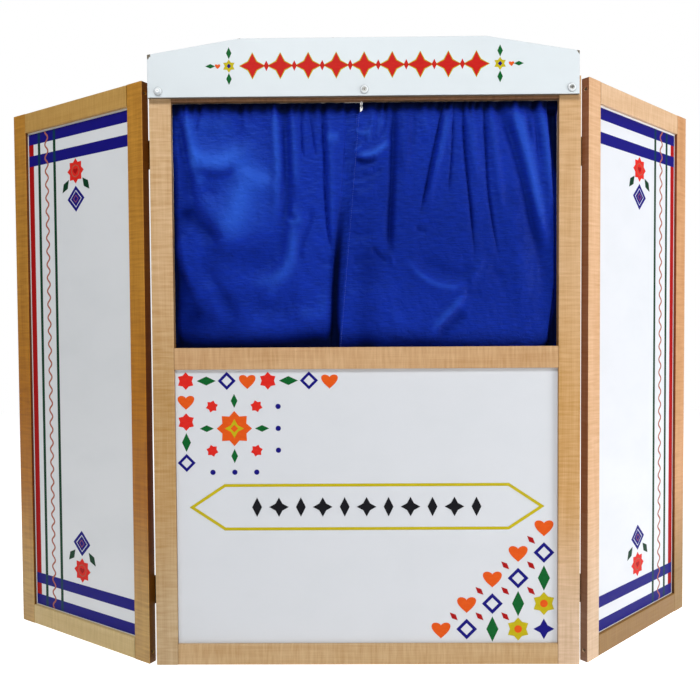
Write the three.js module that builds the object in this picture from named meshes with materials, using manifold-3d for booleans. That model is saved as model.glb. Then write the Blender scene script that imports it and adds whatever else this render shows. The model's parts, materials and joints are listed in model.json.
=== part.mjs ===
// Folding puppet theatre screen: three framed leaves on butt hinges, with a
// header board and a two-part curtain on a wire. Millimetres, +Z up. The origin
// is the middle of the centre leaf's underside, and the audience is on the -Y side.

import * as THREE from 'three';
import { mergeVertices } from 'three/addons/utils/BufferGeometryUtils.js';
import Module from 'manifold-3d';

const wasm = await Module();
wasm.setup();

// Leaves
const leafHeight = 1220;
const leafThickness = 18;
const centreWidth = 888;
const wingWidth = 442;
const stileWidth = 45;
const topRailWidth = 45;
const middleRailWidth = 45;
const middleRailTop = 667;
const centreBottomRailWidth = 43;
const wingBottomRailWidth = 45;
const edgeEase = 1;

// How far each wing is swept back from the plane of the centre leaf, in degrees
const leftWingAngle = 30.6;
const rightWingAngle = 40.3;

// Clearance between pieces that are fitted together, and the overrun of a cut
const fitGap = 0.3;
const overrun = 1;

// Panels, held in grooves along the middle of the members
const panelThickness = 4;
const grooveDepth = 8;

// Screws through the stiles into the ends of the rails
const frameScrewDiameter = 5;
const frameScrewLength = 70;
const frameScrewHeadDiameter = 7.4;
const frameScrewHeadHeight = 3;
const frameScrewSocketDiameter = 3.6;
const frameScrewSocketDepth = 2.2;
const frameScrewSink = 4;
const frameScrewTipLength = 5;
const centreTopScrewDrop = 14;

// Header board
const headerThickness = 10;
const headerWidth = 881;
const headerShift = -3;
const headerLap = 40;
const headerEndHeight = 87;
const headerMiddleHeight = 118;
const headerChamferRun = 189;
const headerEase = 0.8;

// Header screws with their domed washers and snap cap
const headerScrewRise = 12.5;
const headerScrewDiameter = 3.6;
const headerScrewLength = 26;
const headerScrewTipLength = 4;
const headerScrewHeadDiameter = 9.2;
const headerScrewHeadHeight = 2.6;
const headerScrewSocketDiameter = 4;
const headerScrewSocketDepth = 1.6;
const washerDiameter = 18;
const washerHeight = 2.8;
const washerRimHeight = 0.8;
const washerSeatHeight = 1;
const washerCrownDiameter = 12;
const capDiameter = 12.4;
const capHeight = 3;
const capWall = 0.9;

// Hinges: the pin lies half a hinge gap behind the leaves and beside their edges,
// and the plates are screwed to the leaves' backs
const hingeLength = 60;
const upperHingeDrop = 148;
const lowerHingeRise = 153;
const hingeGap = 6;
const hingePlateThickness = 1.5;
const hingePlateReach = 20;
const hingePinDiameter = 2.6;
const hingePinHeadDiameter = 4.6;
const hingePinHeadHeight = 1.1;
const hingeScrewHoleDiameter = 3;
const hingeScrewSinkDiameter = 5.4;
const hingeScrewSinkDepth = 1.1;
const hingeScrewSpacing = 22;
const hingeScrewFromPin = 11.5;
const hingeScrewStagger = 3.2;
const knuckleCount = 5;

// Curtain wire with an eye at each end, and the screw hooks that carry it
const wireDiameter = 4;
const wireDrop = 7;
const wireSetback = 6.5;
const eyeRadius = 3.2;
const eyeStockDiameter = 1.8;
const eyeFromStile = 11;
const eyeShankLength = 3;
const endHookStockDiameter = 2;
const endHookBend = 3;
const endHookScrewLength = 12;
const endHookTipLength = 3;
const middleHookStockDiameter = 3;
const middleHookScrewLength = 12;
const middleHookTipLength = 2;
const middleHookOffset = -6;

// Curtain: two gathered halves with a casing round the wire. The front half's
// lead edge sweeps across the other half towards the bottom.
const clothThickness = 1.2;
const curtainTuck = 27;
const curtainRailGap = 0.5;
const casingDrop = 8;
const casingHem = 14;
const casingFromStile = 19;
const clothFromStile = 8;
const pleatPuff = 3;
const foldPitch = 55;
const foldSwell = 4;
const foldDepthAtRail = 3.5;
const foldFade = 60;
const layerStep = 2.6;
const leadFromHook = 2.5;
const leadSeamFromHook = 25;
const frontLeadFlare = 9.5;
const frontLeadSweep = 52;
const rearLeadFlare = 3.5;
const rearLeadSweep = 14;
const foldWander = 0.9;
const foldWanderTurns = 3.3;
const calmShare = 0.88;
const hangingShares = [0, 0.05, 0.16, 0.32, 0.48, 0.64, 0.8, 0.92, 0.98, 1];
const casingTurnShares = [0, 0.33, 0.67, 1];
const clothColumns = 30;
const leadColumns = 3;

// Facets round a turned piece, a bored hole and a thin bent rod
const turnedSides = 12;
const boreSides = 10;
const rodSides = 8;
const bendSteps = 16;

// Places worked out from the sizes above
const leafFront = -leafThickness / 2;
const leafBack = leafThickness / 2;
const stileInnerFace = centreWidth / 2 - stileWidth;
const topRailUnderside = leafHeight - topRailWidth;
const pinX = centreWidth / 2 + hingeGap / 2;
const pinY = leafBack + hingeGap / 2;
const knuckleRadius = hingeGap / 2 - fitGap;
const headerBack = leafFront - fitGap;
const headerFront = headerBack - headerThickness;
const headerBottom = leafHeight - headerLap;
const headerScrewX = stileInnerFace + stileWidth / 2;
const headerScrewZ = headerBottom + headerScrewRise;
const wireHeight = topRailUnderside - wireDrop;
const eyeX = stileInnerFace - eyeFromStile;
const endHookBendX = eyeX + eyeRadius - eyeStockDiameter / 2 - fitGap
  - endHookStockDiameter / 2 + endHookBend;
const middleHookBend = wireDiameter / 2 + fitGap + middleHookStockDiameter / 2;

// Finishes
const birch = { color: 0xd2b083, roughness: 0.55, metalness: 0 };
const laminate = { color: 0xe6eaee, roughness: 0.35, metalness: 0 };
const whitePlastic = { color: 0xf0f0ee, roughness: 0.4, metalness: 0 };
const hingeSteel = { color: 0x5a5148, roughness: 0.45, metalness: 0.8 };
const screwSteel = { color: 0x8b8780, roughness: 0.4, metalness: 0.9 };
const curtainCloth = { color: 0x1432a0, roughness: 0.75, metalness: 0 };

// Solids

function solidOf(geometry) {
  const bare = geometry.clone();
  bare.deleteAttribute('normal');
  bare.deleteAttribute('uv');
  const merged = mergeVertices(bare);
  return new wasm.Manifold(new wasm.Mesh({
    numProp: 3,
    vertProperties: new Float32Array(merged.attributes.position.array),
    triVerts: new Uint32Array(merged.index.array),
  }));
}

function geometryOf(solid) {
  const mesh = solid.getMesh();
  const geometry = new THREE.BufferGeometry();
  geometry.setAttribute('position', new THREE.BufferAttribute(mesh.vertProperties, 3));
  geometry.setIndex(new THREE.BufferAttribute(mesh.triVerts, 1));
  geometry.computeVertexNormals();
  return geometry;
}

function join(geometries) {
  return geometryOf(geometries.map(solidOf).reduce((whole, next) => whole.add(next)));
}

function cut(blank, cutters) {
  const cutSolid = cutters.reduce((left, cutter) => left.subtract(solidOf(cutter)), solidOf(blank));
  return geometryOf(cutSolid);
}

// A box between two corners
function block([x0, y0, z0], [x1, y1, z1]) {
  const box = new THREE.BoxGeometry(Math.abs(x1 - x0), Math.abs(y1 - y0), Math.abs(z1 - z0));
  return box.translate((x0 + x1) / 2, (y0 + y1) / 2, (z0 + z1) / 2);
}

// A turned piece whose profile runs from its head at 0 along a direction.
// Each point of the profile is a radius and a distance along the axis.
function turned(profile, direction, sides = turnedSides) {
  const points = profile.map(([radius, along]) => new THREE.Vector2(radius, along));
  const lathe = new THREE.LatheGeometry(points, sides);
  const turn = new THREE.Quaternion().setFromUnitVectors(new THREE.Vector3(0, 1, 0), direction);
  return lathe.applyQuaternion(turn);
}

// A round bar or hole along a direction from one distance to another
function roundBar(radius, from, to, direction, sides = boreSides) {
  return turned([[0, from], [radius, from], [radius, to], [0, to]], direction, sides);
}

const alongX = (sign) => new THREE.Vector3(sign, 0, 0);
const alongY = (sign) => new THREE.Vector3(0, sign, 0);
const alongZ = (sign) => new THREE.Vector3(0, 0, sign);

// A planed member along +Z with its four long edges eased, centred on X and Y
function planedMember(length, width) {
  const halfWidth = width / 2;
  const halfDepth = leafThickness / 2;
  const section = new THREE.Shape([
    new THREE.Vector2(-halfWidth + edgeEase, -halfDepth),
    new THREE.Vector2(halfWidth - edgeEase, -halfDepth),
    new THREE.Vector2(halfWidth, -halfDepth + edgeEase),
    new THREE.Vector2(halfWidth, halfDepth - edgeEase),
    new THREE.Vector2(halfWidth - edgeEase, halfDepth),
    new THREE.Vector2(-halfWidth + edgeEase, halfDepth),
    new THREE.Vector2(-halfWidth, halfDepth - edgeEase),
    new THREE.Vector2(-halfWidth, -halfDepth + edgeEase),
  ]);
  return new THREE.ExtrudeGeometry(section, { depth: length, bevelEnabled: false });
}

// The middle line of a bent hook: down its shank, half round the bend and up
// to its tip. The shank and tip run along "up"; "across" goes from shank to tip.
class HookLine extends THREE.Curve {
  constructor({ shank, bend, tip, up, across }) {
    super();
    Object.assign(this, { shank, bend, tip, up, across });
  }

  getPoint(share, target = new THREE.Vector3()) {
    const arc = Math.PI * this.bend;
    const run = share * (this.shank + arc + this.tip);
    const angle = THREE.MathUtils.clamp((run - this.shank) / this.bend, 0, Math.PI);
    const rise = Math.max(this.shank - run, run - this.shank - arc, 0);
    return target.set(0, 0, 0)
      .addScaledVector(this.up, rise - this.bend * Math.sin(angle))
      .addScaledVector(this.across, -this.bend * Math.cos(angle));
  }
}

function bentRod(line, radius) {
  const section = new THREE.Shape();
  section.absarc(0, 0, radius, 0, 2 * Math.PI);
  return new THREE.ExtrudeGeometry(section, {
    steps: bendSteps,
    curveSegments: rodSides / 2,
    bevelEnabled: false,
    extrudePath: line,
  });
}

// A sheet of even thickness about a grid of points on its middle surface
function sheetSolid(grid, thickness) {
  const rows = grid.length;
  const columns = grid[0].length;
  const rowAt = (row) => grid[THREE.MathUtils.clamp(row, 0, rows - 1)];
  const pointAt = (row, column) => rowAt(row)[THREE.MathUtils.clamp(column, 0, columns - 1)];
  const positions = [];
  for (const face of [1, -1]) {
    for (let row = 0; row < rows; row += 1) {
      for (let column = 0; column < columns; column += 1) {
        const along = pointAt(row, column + 1).clone().sub(pointAt(row, column - 1));
        const up = pointAt(row + 1, column).clone().sub(pointAt(row - 1, column));
        const normal = along.cross(up).normalize();
        const point = pointAt(row, column).clone().addScaledVector(normal, face * thickness / 2);
        positions.push(...point.toArray());
      }
    }
  }
  const faces = [];
  const quad = (a, b, c, d) => faces.push(a, b, c, a, c, d);
  const front = (row, column) => row * columns + column;
  const back = (row, column) => rows * columns + front(row, column);
  for (let row = 0; row < rows - 1; row += 1) {
    for (let column = 0; column < columns - 1; column += 1) {
      quad(front(row, column), front(row, column + 1), front(row + 1, column + 1), front(row + 1, column));
      quad(back(row, column), back(row + 1, column), back(row + 1, column + 1), back(row, column + 1));
    }
    const last = columns - 1;
    quad(front(row, 0), front(row + 1, 0), back(row + 1, 0), back(row, 0));
    quad(front(row, last), back(row, last), back(row + 1, last), front(row + 1, last));
  }
  for (let column = 0; column < columns - 1; column += 1) {
    const last = rows - 1;
    quad(front(0, column), back(0, column), back(0, column + 1), front(0, column + 1));
    quad(front(last, column), front(last, column + 1), back(last, column + 1), back(last, column));
  }
  const geometry = new THREE.BufferGeometry();
  geometry.setAttribute('position', new THREE.BufferAttribute(new Float32Array(positions), 3));
  geometry.setIndex(faces);
  geometry.computeVertexNormals();
  return geometry;
}

function addPiece(group, name, geometry, finish, place = new THREE.Vector3()) {
  const mesh = new THREE.Mesh(geometry, new THREE.MeshStandardMaterial(finish));
  mesh.name = name;
  mesh.position.copy(place);
  group.add(mesh);
}

// Framed leaves

// A groove for the panel, from one height to another, about the edge at x
function panelGroove(x, [bottom, top]) {
  const halfSlot = panelThickness / 2 + fitGap;
  return block(
    [x - grooveDepth, -halfSlot, bottom - grooveDepth],
    [x + grooveDepth, halfSlot, top + grooveDepth],
  );
}

// The bore of a frame screw, entered from the outer edge of a stile
function frameScrewBore(inward) {
  const radius = frameScrewDiameter / 2 + fitGap;
  const headRadius = frameScrewHeadDiameter / 2 + fitGap;
  const headSeat = frameScrewSink + frameScrewHeadHeight + fitGap;
  const end = frameScrewSink + frameScrewLength + fitGap;
  return turned(
    [[0, -overrun], [headRadius, -overrun], [headRadius, headSeat], [radius, headSeat], [radius, end], [0, end]],
    alongX(inward),
    boreSides,
  );
}

function frameScrew(inward) {
  const radius = frameScrewDiameter / 2;
  const headRadius = frameScrewHeadDiameter / 2;
  return turned([
    [0, frameScrewSocketDepth],
    [frameScrewSocketDiameter / 2, 0],
    [headRadius, 0],
    [headRadius, frameScrewHeadHeight],
    [radius, frameScrewHeadHeight],
    [radius, frameScrewLength - frameScrewTipLength],
    [0, frameScrewLength],
  ], alongX(inward), boreSides);
}

// A leaf between x = left and x = right, standing on z = 0 about y = 0. Its
// first two rails hold the panel. "extraCuts" are holes by the piece's name.
function addLeaf(group, { left, right, stiles, rails, panel, extraCuts = {} }) {
  const field = [rails[0].top, rails[1].bottom];
  const cutsFor = (name, place) => (extraCuts[name] ?? [])
    .map((cutter) => cutter.clone().translate(-place.x, -place.y, -place.z));

  for (const stile of stiles) {
    const outerFace = stile.inward > 0 ? left : right;
    const innerFace = outerFace + stile.inward * stileWidth;
    const place = new THREE.Vector3((outerFace + innerFace) / 2, 0, 0);
    const toOuterFace = outerFace - place.x;
    const bores = rails.map((rail) => frameScrewBore(stile.inward).translate(toOuterFace, 0, rail.screwHeight));
    const geometry = cut(planedMember(leafHeight, stileWidth), [
      panelGroove(innerFace - place.x, field),
      ...bores,
      ...cutsFor(stile.name, place),
    ]);
    addPiece(group, stile.name, geometry, birch, place);
    for (const rail of rails) {
      const screwPlace = new THREE.Vector3(outerFace + stile.inward * frameScrewSink, 0, rail.screwHeight);
      addPiece(group, `${stile.screwName}_${rail.level}_screw`, frameScrew(stile.inward), screwSteel, screwPlace);
    }
  }

  const railLength = right - left - 2 * (stileWidth + fitGap);
  const middle = (left + right) / 2;
  for (const rail of rails) {
    const width = rail.top - rail.bottom;
    const place = new THREE.Vector3(middle, 0, (rail.top + rail.bottom) / 2);
    const blank = planedMember(railLength, width).translate(0, 0, -railLength / 2).rotateY(Math.PI / 2);
    const fromMiddle = (right - left) / 2;
    const bores = [1, -1].map((inward) => frameScrewBore(inward)
      .translate(-inward * fromMiddle, 0, rail.screwHeight - place.z));
    const halfSlot = panelThickness / 2 + fitGap;
    const grooves = field.filter((edge) => edge === rail.top || edge === rail.bottom)
      .map((edge) => block(
        [-railLength, -halfSlot, edge - place.z - grooveDepth],
        [railLength, halfSlot, edge - place.z + grooveDepth],
      ));
    const geometry = cut(blank, [...grooves, ...bores, ...cutsFor(rail.name, place)]);
    addPiece(group, rail.name, geometry, birch, place);
  }

  const tongue = grooveDepth - fitGap;
  const board = block(
    [left + stileWidth - tongue, -panelThickness / 2, field[0] - tongue],
    [right - stileWidth + tongue, panelThickness / 2, field[1] + tongue],
  );
  addPiece(group, panel, board, laminate);
}

// Hinges, about the pin's middle

const knuckleLength = hingeLength / knuckleCount;

// The plate on one side of the pin, with the knuckles of the given numbers. It
// lies on the back of its leaf, which is in front of the pin.
function hingePlate(side, knuckles) {
  const seat = -knuckleRadius;
  const face = hingePlateThickness - knuckleRadius;
  const flangeStart = side * (knuckleRadius + fitGap);
  const rootEnd = flangeStart + side * hingePlateThickness;
  const pieces = [
    block([flangeStart, seat, -hingeLength / 2], [side * hingePlateReach, face, hingeLength / 2]),
  ];
  for (const knuckle of knuckles) {
    const bottom = -hingeLength / 2 + knuckle * knuckleLength + fitGap / 2;
    const top = bottom + knuckleLength - fitGap;
    pieces.push(roundBar(knuckleRadius, bottom, top, alongZ(1), turnedSides));
    pieces.push(block([0, seat, bottom], [rootEnd, face, top]));
  }
  const bore = roundBar(hingePinDiameter / 2 + fitGap, -hingeLength, hingeLength, alongZ(1), turnedSides);
  const screwHoles = [-1, 0, 1].map((level) => turned([
    [0, 0],
    [hingeScrewSinkDiameter / 2, 0],
    [hingeScrewHoleDiameter / 2, hingeScrewSinkDepth],
    [hingeScrewHoleDiameter / 2, hingePlateThickness + overrun],
    [0, hingePlateThickness + overrun],
  ], alongY(-1), rodSides).translate(
    side * (hingeScrewFromPin + (level === 0 ? hingeScrewStagger : 0)),
    face,
    level * hingeScrewSpacing,
  ));
  return cut(join(pieces), [bore, ...screwHoles]);
}

function hingePin() {
  const radius = hingePinDiameter / 2;
  const headRadius = hingePinHeadDiameter / 2;
  const end = hingeLength / 2 + fitGap;
  return turned([
    [0, -end - hingePinHeadHeight],
    [headRadius, -end],
    [radius, -end],
    [radius, end],
    [headRadius, end],
    [0, end + hingePinHeadHeight],
  ], alongZ(1));
}

const evenKnuckles = Array.from({ length: Math.ceil(knuckleCount / 2) }, (_, index) => 2 * index);
const oddKnuckles = Array.from({ length: Math.floor(knuckleCount / 2) }, (_, index) => 2 * index + 1);
const hingeHeights = { upper: leafHeight - upperHingeDrop, lower: lowerHingeRise };

function addCentreHinges(group, side, sideName) {
  for (const [level, height] of Object.entries(hingeHeights)) {
    const place = new THREE.Vector3(side * pinX, pinY, height);
    addPiece(group, `${sideName}_${level}_hinge_centre_plate`, hingePlate(-side, evenKnuckles), hingeSteel, place);
    addPiece(group, `${sideName}_${level}_hinge_pin`, hingePin(), hingeSteel, place);
  }
}

function addWingHinges(group, side, sideName) {
  for (const [level, height] of Object.entries(hingeHeights)) {
    const place = new THREE.Vector3(0, 0, height);
    addPiece(group, `${sideName}_${level}_hinge_wing_plate`, hingePlate(side, oddKnuckles), hingeSteel, place);
  }
}

// Header board and its fasteners

const headerScrewSpots = [-headerScrewX, 0, headerScrewX]
  .map((x) => new THREE.Vector3(x, headerFront - fitGap, headerScrewZ));

function headerScrewBore(spot) {
  const end = headerScrewLength + washerSeatHeight + fitGap;
  return roundBar(headerScrewDiameter / 2 + fitGap, -washerHeight, end, alongY(1)).translate(...spot.toArray());
}

function headerBoard() {
  const halfWidth = headerWidth / 2;
  const outline = new THREE.Shape([
    new THREE.Vector2(-halfWidth + headerEase, headerEase),
    new THREE.Vector2(halfWidth - headerEase, headerEase),
    new THREE.Vector2(halfWidth - headerEase, headerEndHeight - headerEase),
    new THREE.Vector2(halfWidth - headerChamferRun, headerMiddleHeight - headerEase),
    new THREE.Vector2(-halfWidth + headerChamferRun, headerMiddleHeight - headerEase),
    new THREE.Vector2(-halfWidth + headerEase, headerEndHeight - headerEase),
  ]);
  const board = new THREE.ExtrudeGeometry(outline, {
    depth: headerThickness - 2 * headerEase,
    bevelSize: headerEase,
    bevelThickness: headerEase,
    bevelSegments: 1,
  });
  board.translate(headerShift, 0, headerEase).rotateX(Math.PI / 2).translate(0, headerBack, headerBottom);
  return cut(board, headerScrewSpots.map(headerScrewBore));
}

// Domed plastic washer: "along" runs from its base out to its crown
function headerWasher() {
  const boreRadius = headerScrewDiameter / 2 + fitGap;
  const seatRadius = headerScrewHeadDiameter / 2 + fitGap;
  const rimRadius = washerDiameter / 2;
  const crownRadius = washerCrownDiameter / 2;
  const shoulderRadius = (rimRadius + crownRadius) / 2;
  const shoulderHeight = (washerRimHeight + 2 * washerHeight) / 3;
  return turned([
    [boreRadius, 0],
    [rimRadius, 0],
    [rimRadius, washerRimHeight],
    [shoulderRadius, shoulderHeight],
    [crownRadius, washerHeight],
    [seatRadius, washerHeight],
    [seatRadius, washerSeatHeight],
    [boreRadius, washerSeatHeight],
    [boreRadius, 0],
  ], alongY(-1), 2 * boreSides);
}

// The screw from its socket to its tip
function headerScrew() {
  const radius = headerScrewDiameter / 2;
  const headRadius = headerScrewHeadDiameter / 2;
  return turned([
    [0, headerScrewSocketDepth],
    [headerScrewSocketDiameter / 2, 0],
    [headRadius * 3 / 4, 0],
    [headRadius, headerScrewHeadHeight / 2],
    [headRadius, headerScrewHeadHeight],
    [radius, headerScrewHeadHeight],
    [radius, headerScrewLength - headerScrewTipLength],
    [0, headerScrewLength],
  ], alongY(1));
}

// Snap cap over one screw head: a shallow cup that opens onto the washer
function snapCap() {
  const radius = capDiameter / 2;
  const hollowRadius = radius - capWall;
  return turned([
    [hollowRadius, 0],
    [radius, 0],
    [radius, capHeight / 2],
    [radius * 3 / 4, capHeight],
    [0, capHeight],
    [0, capHeight - capWall],
    [hollowRadius, capHeight / 2],
    [hollowRadius, 0],
  ], alongY(-1), 2 * boreSides);
}

function addHeader(group) {
  addPiece(group, 'header_board', headerBoard(), laminate);
  const spotNames = ['left', 'middle', 'right'];
  headerScrewSpots.forEach((spot, index) => {
    const name = spotNames[index];
    const headPlace = spot.clone();
    headPlace.y -= washerSeatHeight + fitGap + headerScrewHeadHeight;
    addPiece(group, `header_${name}_washer`, headerWasher(), whitePlastic, spot);
    addPiece(group, `header_${name}_screw`, headerScrew(), screwSteel, headPlace);
  });
  const capPlace = headerScrewSpots[0].clone();
  capPlace.y -= washerHeight + fitGap;
  addPiece(group, 'header_left_snap_cap', snapCap(), whitePlastic, capPlace);
}

// Curtain wire and hooks

function curtainWire() {
  const pieces = [];
  const bodyEnd = eyeX - eyeRadius - eyeShankLength;
  pieces.push(roundBar(wireDiameter / 2, -bodyEnd, bodyEnd, alongX(1)));
  for (const side of [-1, 1]) {
    const neckEnd = eyeX - eyeRadius;
    pieces.push(roundBar(eyeStockDiameter / 2, bodyEnd - overrun, neckEnd, alongX(side), rodSides));
    const eye = new THREE.TorusGeometry(eyeRadius, eyeStockDiameter / 2, rodSides, turnedSides);
    pieces.push(eye.rotateX(Math.PI / 2).translate(side * eyeX, 0, 0));
  }
  return join(pieces);
}

function endHook(side) {
  const line = new HookLine({
    shank: stileInnerFace + endHookScrewLength - endHookBendX,
    bend: endHookBend,
    tip: endHookTipLength,
    up: alongX(side),
    across: alongY(1),
  });
  return bentRod(line, endHookStockDiameter / 2);
}

function middleHook() {
  const line = new HookLine({
    shank: wireDrop + middleHookScrewLength,
    bend: middleHookBend,
    tip: middleHookTipLength,
    up: alongZ(1),
    across: alongY(1),
  });
  return bentRod(line, middleHookStockDiameter / 2);
}

function endHookBore(side) {
  const radius = endHookStockDiameter / 2 + fitGap;
  return roundBar(radius, stileInnerFace - overrun, stileInnerFace + endHookScrewLength + fitGap, alongX(side))
    .translate(0, wireSetback - endHookBend, wireHeight);
}

function middleHookBore() {
  const radius = middleHookStockDiameter / 2 + fitGap;
  const top = topRailUnderside + middleHookScrewLength + fitGap;
  return roundBar(radius, topRailUnderside - overrun, top, alongZ(1))
    .translate(middleHookOffset, wireSetback - middleHookBend, 0);
}

function addWire(group) {
  addPiece(group, 'curtain_wire', curtainWire(), whitePlastic, new THREE.Vector3(0, wireSetback, wireHeight));
  for (const [side, name] of [[-1, 'left'], [1, 'right']]) {
    const place = new THREE.Vector3(side * endHookBendX, wireSetback, wireHeight);
    addPiece(group, `${name}_wire_hook`, endHook(side), screwSteel, place);
  }
  const place = new THREE.Vector3(middleHookOffset, wireSetback, wireHeight);
  addPiece(group, 'middle_wire_hook', middleHook(), whitePlastic, place);
}

// Curtain

const smooth = (value) => THREE.MathUtils.smoothstep(value, 0, 1);
const mix = THREE.MathUtils.lerp;
const casingRadius = wireDiameter / 2 + fitGap + clothThickness / 2;
const casingRoof = wireDrop - fitGap - clothThickness / 2;
const hangTop = wireHeight - casingDrop;
const hangBottom = middleRailTop - curtainTuck;
const foldDepthAtTop = pleatPuff / 2;
const leadFoldDepth = foldDepthAtRail * (1 - calmShare);
const frontAtTop = wireSetback - casingRadius - foldDepthAtTop;
const behindRail = leafBack + curtainRailGap + clothThickness / 2;

// "behind" is how far this half's lead edge lies behind the front one's, and
// "calmWidth" the width beside its lead edge where the folds stay shallow.
const frontHalf = {
  side: 1,
  seam: middleHookOffset + leadSeamFromHook,
  leadTop: middleHookOffset + leadFromHook,
  leadFlared: middleHookOffset + leadFromHook - frontLeadFlare,
  leadBottom: middleHookOffset - frontLeadSweep,
  behind: 0,
  calmWidth: 0,
};
const rearHalf = {
  side: -1,
  seam: middleHookOffset - leadSeamFromHook,
  leadTop: middleHookOffset - leadFromHook,
  leadFlared: middleHookOffset - leadFromHook - rearLeadFlare,
  leadBottom: middleHookOffset - rearLeadSweep,
  behind: layerStep,
  calmWidth: frontLeadSweep - leadSeamFromHook + foldPitch / 3,
};

// The wave of the folds, from -1 to 1, the same for both halves
function foldWave(x) {
  const turns = x / foldPitch;
  return Math.cos(2 * Math.PI * turns + foldWander * Math.sin(2 * Math.PI * turns / foldWanderTurns));
}

function calmAt(half, x) {
  const fromSeam = half.side * (x - half.seam);
  return 1 - smooth((fromSeam - half.calmWidth) / foldFade);
}

// How far back the hanging cloth lies at x and z
function clothDepth(half, x, z) {
  const fall = THREE.MathUtils.clamp((hangTop - z) / (hangTop - middleRailTop - casingDrop), 0, 1);
  const calm = calmAt(half, x);
  const freeDepth = mix(frontAtTop, behindRail + foldDepthAtRail, fall);
  const leadDepth = mix(frontAtTop, behindRail + leadFoldDepth, fall) + half.behind;
  const fold = mix(foldDepthAtTop, foldDepthAtRail, fall) + foldSwell * Math.sin(Math.PI * fall);
  return mix(freeDepth, leadDepth, calm) - fold * (1 - calmShare * calm) * foldWave(x);
}

// The rows of one half from its bottom edge up, over the wire and down behind it
const clothRows = [
  ...hangingShares.map((share) => ({ z: mix(hangBottom, hangTop, share), inCasing: share === 1 })),
  ...casingTurnShares.map((turn) => ({ turn, inCasing: true })),
  { z: wireHeight - casingHem, inCasing: true, behindFront: true },
];

function clothPoint(half, x, row) {
  if (row.turn !== undefined) {
    const puff = pleatPuff * (1 + foldWave(x)) / 2 * (1 - calmShare * calmAt(half, x));
    const radius = casingRadius + puff;
    const angle = Math.PI * row.turn;
    const rise = Math.min(radius, casingRoof) * Math.sin(angle);
    return new THREE.Vector3(x, wireSetback - radius * Math.cos(angle), wireHeight + rise);
  }
  const layer = row.behindFront ? clothThickness + 2 * fitGap : 0;
  return new THREE.Vector3(x, clothDepth(half, x, row.z) + layer, row.z);
}

function leadEdgeAt(half, row) {
  if (row.inCasing) {
    return half.leadTop;
  }
  const fall = (hangTop - row.z) / (hangTop - hangBottom);
  return mix(half.leadFlared, half.leadBottom, fall);
}

function outerEdgeAt(half, row) {
  return half.side * (stileInnerFace - (row.inCasing ? casingFromStile : clothFromStile));
}

function clothBetween(half, from, to, columns) {
  const [first, last] = half.side > 0 ? [to, from] : [from, to];
  const grid = clothRows.map((row) => Array.from({ length: columns + 1 }, (_, column) => {
    const x = mix(first(half, row), last(half, row), column / columns);
    return clothPoint(half, x, row);
  }));
  return sheetSolid(grid, clothThickness);
}

function addCurtain(group) {
  const seamAt = (offset) => (half) => half.seam + half.side * offset;
  for (const [half, name] of [[frontHalf, 'right'], [rearHalf, 'left']]) {
    const cloth = clothBetween(half, outerEdgeAt, seamAt(fitGap), clothColumns);
    const lead = clothBetween(half, seamAt(0), leadEdgeAt, leadColumns);
    addPiece(group, `${name}_curtain`, cloth, curtainCloth);
    addPiece(group, `${name}_curtain_lead_edge`, lead, curtainCloth);
  }
}

// Assembly

function addCentreLeaf(group) {
  const headerBores = headerScrewSpots.map(headerScrewBore);
  addLeaf(group, {
    left: -centreWidth / 2,
    right: centreWidth / 2,
    stiles: [
      { name: 'centre_left_stile', screwName: 'centre_left', inward: 1 },
      { name: 'centre_right_stile', screwName: 'centre_right', inward: -1 },
    ],
    rails: [
      {
        name: 'centre_bottom_rail',
        level: 'bottom',
        bottom: 0,
        top: centreBottomRailWidth,
        screwHeight: centreBottomRailWidth / 2,
      },
      {
        name: 'centre_middle_rail',
        level: 'middle',
        bottom: middleRailTop - middleRailWidth,
        top: middleRailTop,
        screwHeight: middleRailTop - middleRailWidth / 2,
      },
      {
        name: 'centre_top_rail',
        level: 'top',
        bottom: topRailUnderside,
        top: leafHeight,
        screwHeight: leafHeight - centreTopScrewDrop,
      },
    ],
    panel: 'front_panel',
    extraCuts: {
      centre_left_stile: [headerBores[0], endHookBore(-1)],
      centre_right_stile: [headerBores[2], endHookBore(1)],
      centre_top_rail: [headerBores[1], middleHookBore()],
    },
  });
}

function addWing(group, side, name, angle) {
  const wing = new THREE.Group();
  wing.position.set(side * pinX, pinY, 0);
  wing.rotation.z = THREE.MathUtils.degToRad(side * angle);
  group.add(wing);

  const leaf = new THREE.Group();
  leaf.position.set(0, -pinY, 0);
  wing.add(leaf);

  const inner = side * hingeGap / 2;
  const outer = side * (hingeGap / 2 + wingWidth);
  addLeaf(leaf, {
    left: Math.min(inner, outer),
    right: Math.max(inner, outer),
    stiles: [
      { name: `${name}_inner_stile`, screwName: `${name}_inner`, inward: side },
      { name: `${name}_outer_stile`, screwName: `${name}_outer`, inward: -side },
    ],
    rails: [
      {
        name: `${name}_bottom_rail`,
        level: 'bottom',
        bottom: 0,
        top: wingBottomRailWidth,
        screwHeight: wingBottomRailWidth / 2,
      },
      {
        name: `${name}_top_rail`,
        level: 'top',
        bottom: topRailUnderside,
        top: leafHeight,
        screwHeight: leafHeight - topRailWidth / 2,
      },
    ],
    panel: `${name}_panel`,
  });
  addWingHinges(wing, side, name);
}

const theatre = new THREE.Group();
addCentreLeaf(theatre);
addHeader(theatre);
addWire(theatre);
addCurtain(theatre);
addCentreHinges(theatre, -1, 'left_wing');
addCentreHinges(theatre, 1, 'right_wing');
addWing(theatre, -1, 'left_wing', leftWingAngle);
addWing(theatre, 1, 'right_wing', rightWingAngle);

export default theatre;
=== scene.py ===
"""Folding puppet theatre screen, dressed for its render and its visual model.

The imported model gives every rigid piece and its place. This script gives each of
them its finish, hangs the real curtain in place of the plain cloth solids, prints
the panels, drives the hinge screws, and sets up the studio. Sizes are written in
millimetres and turned to metres with MM.
"""

import json
import logging
import math
from dataclasses import dataclass
from enum import Enum
from typing import ClassVar

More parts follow.
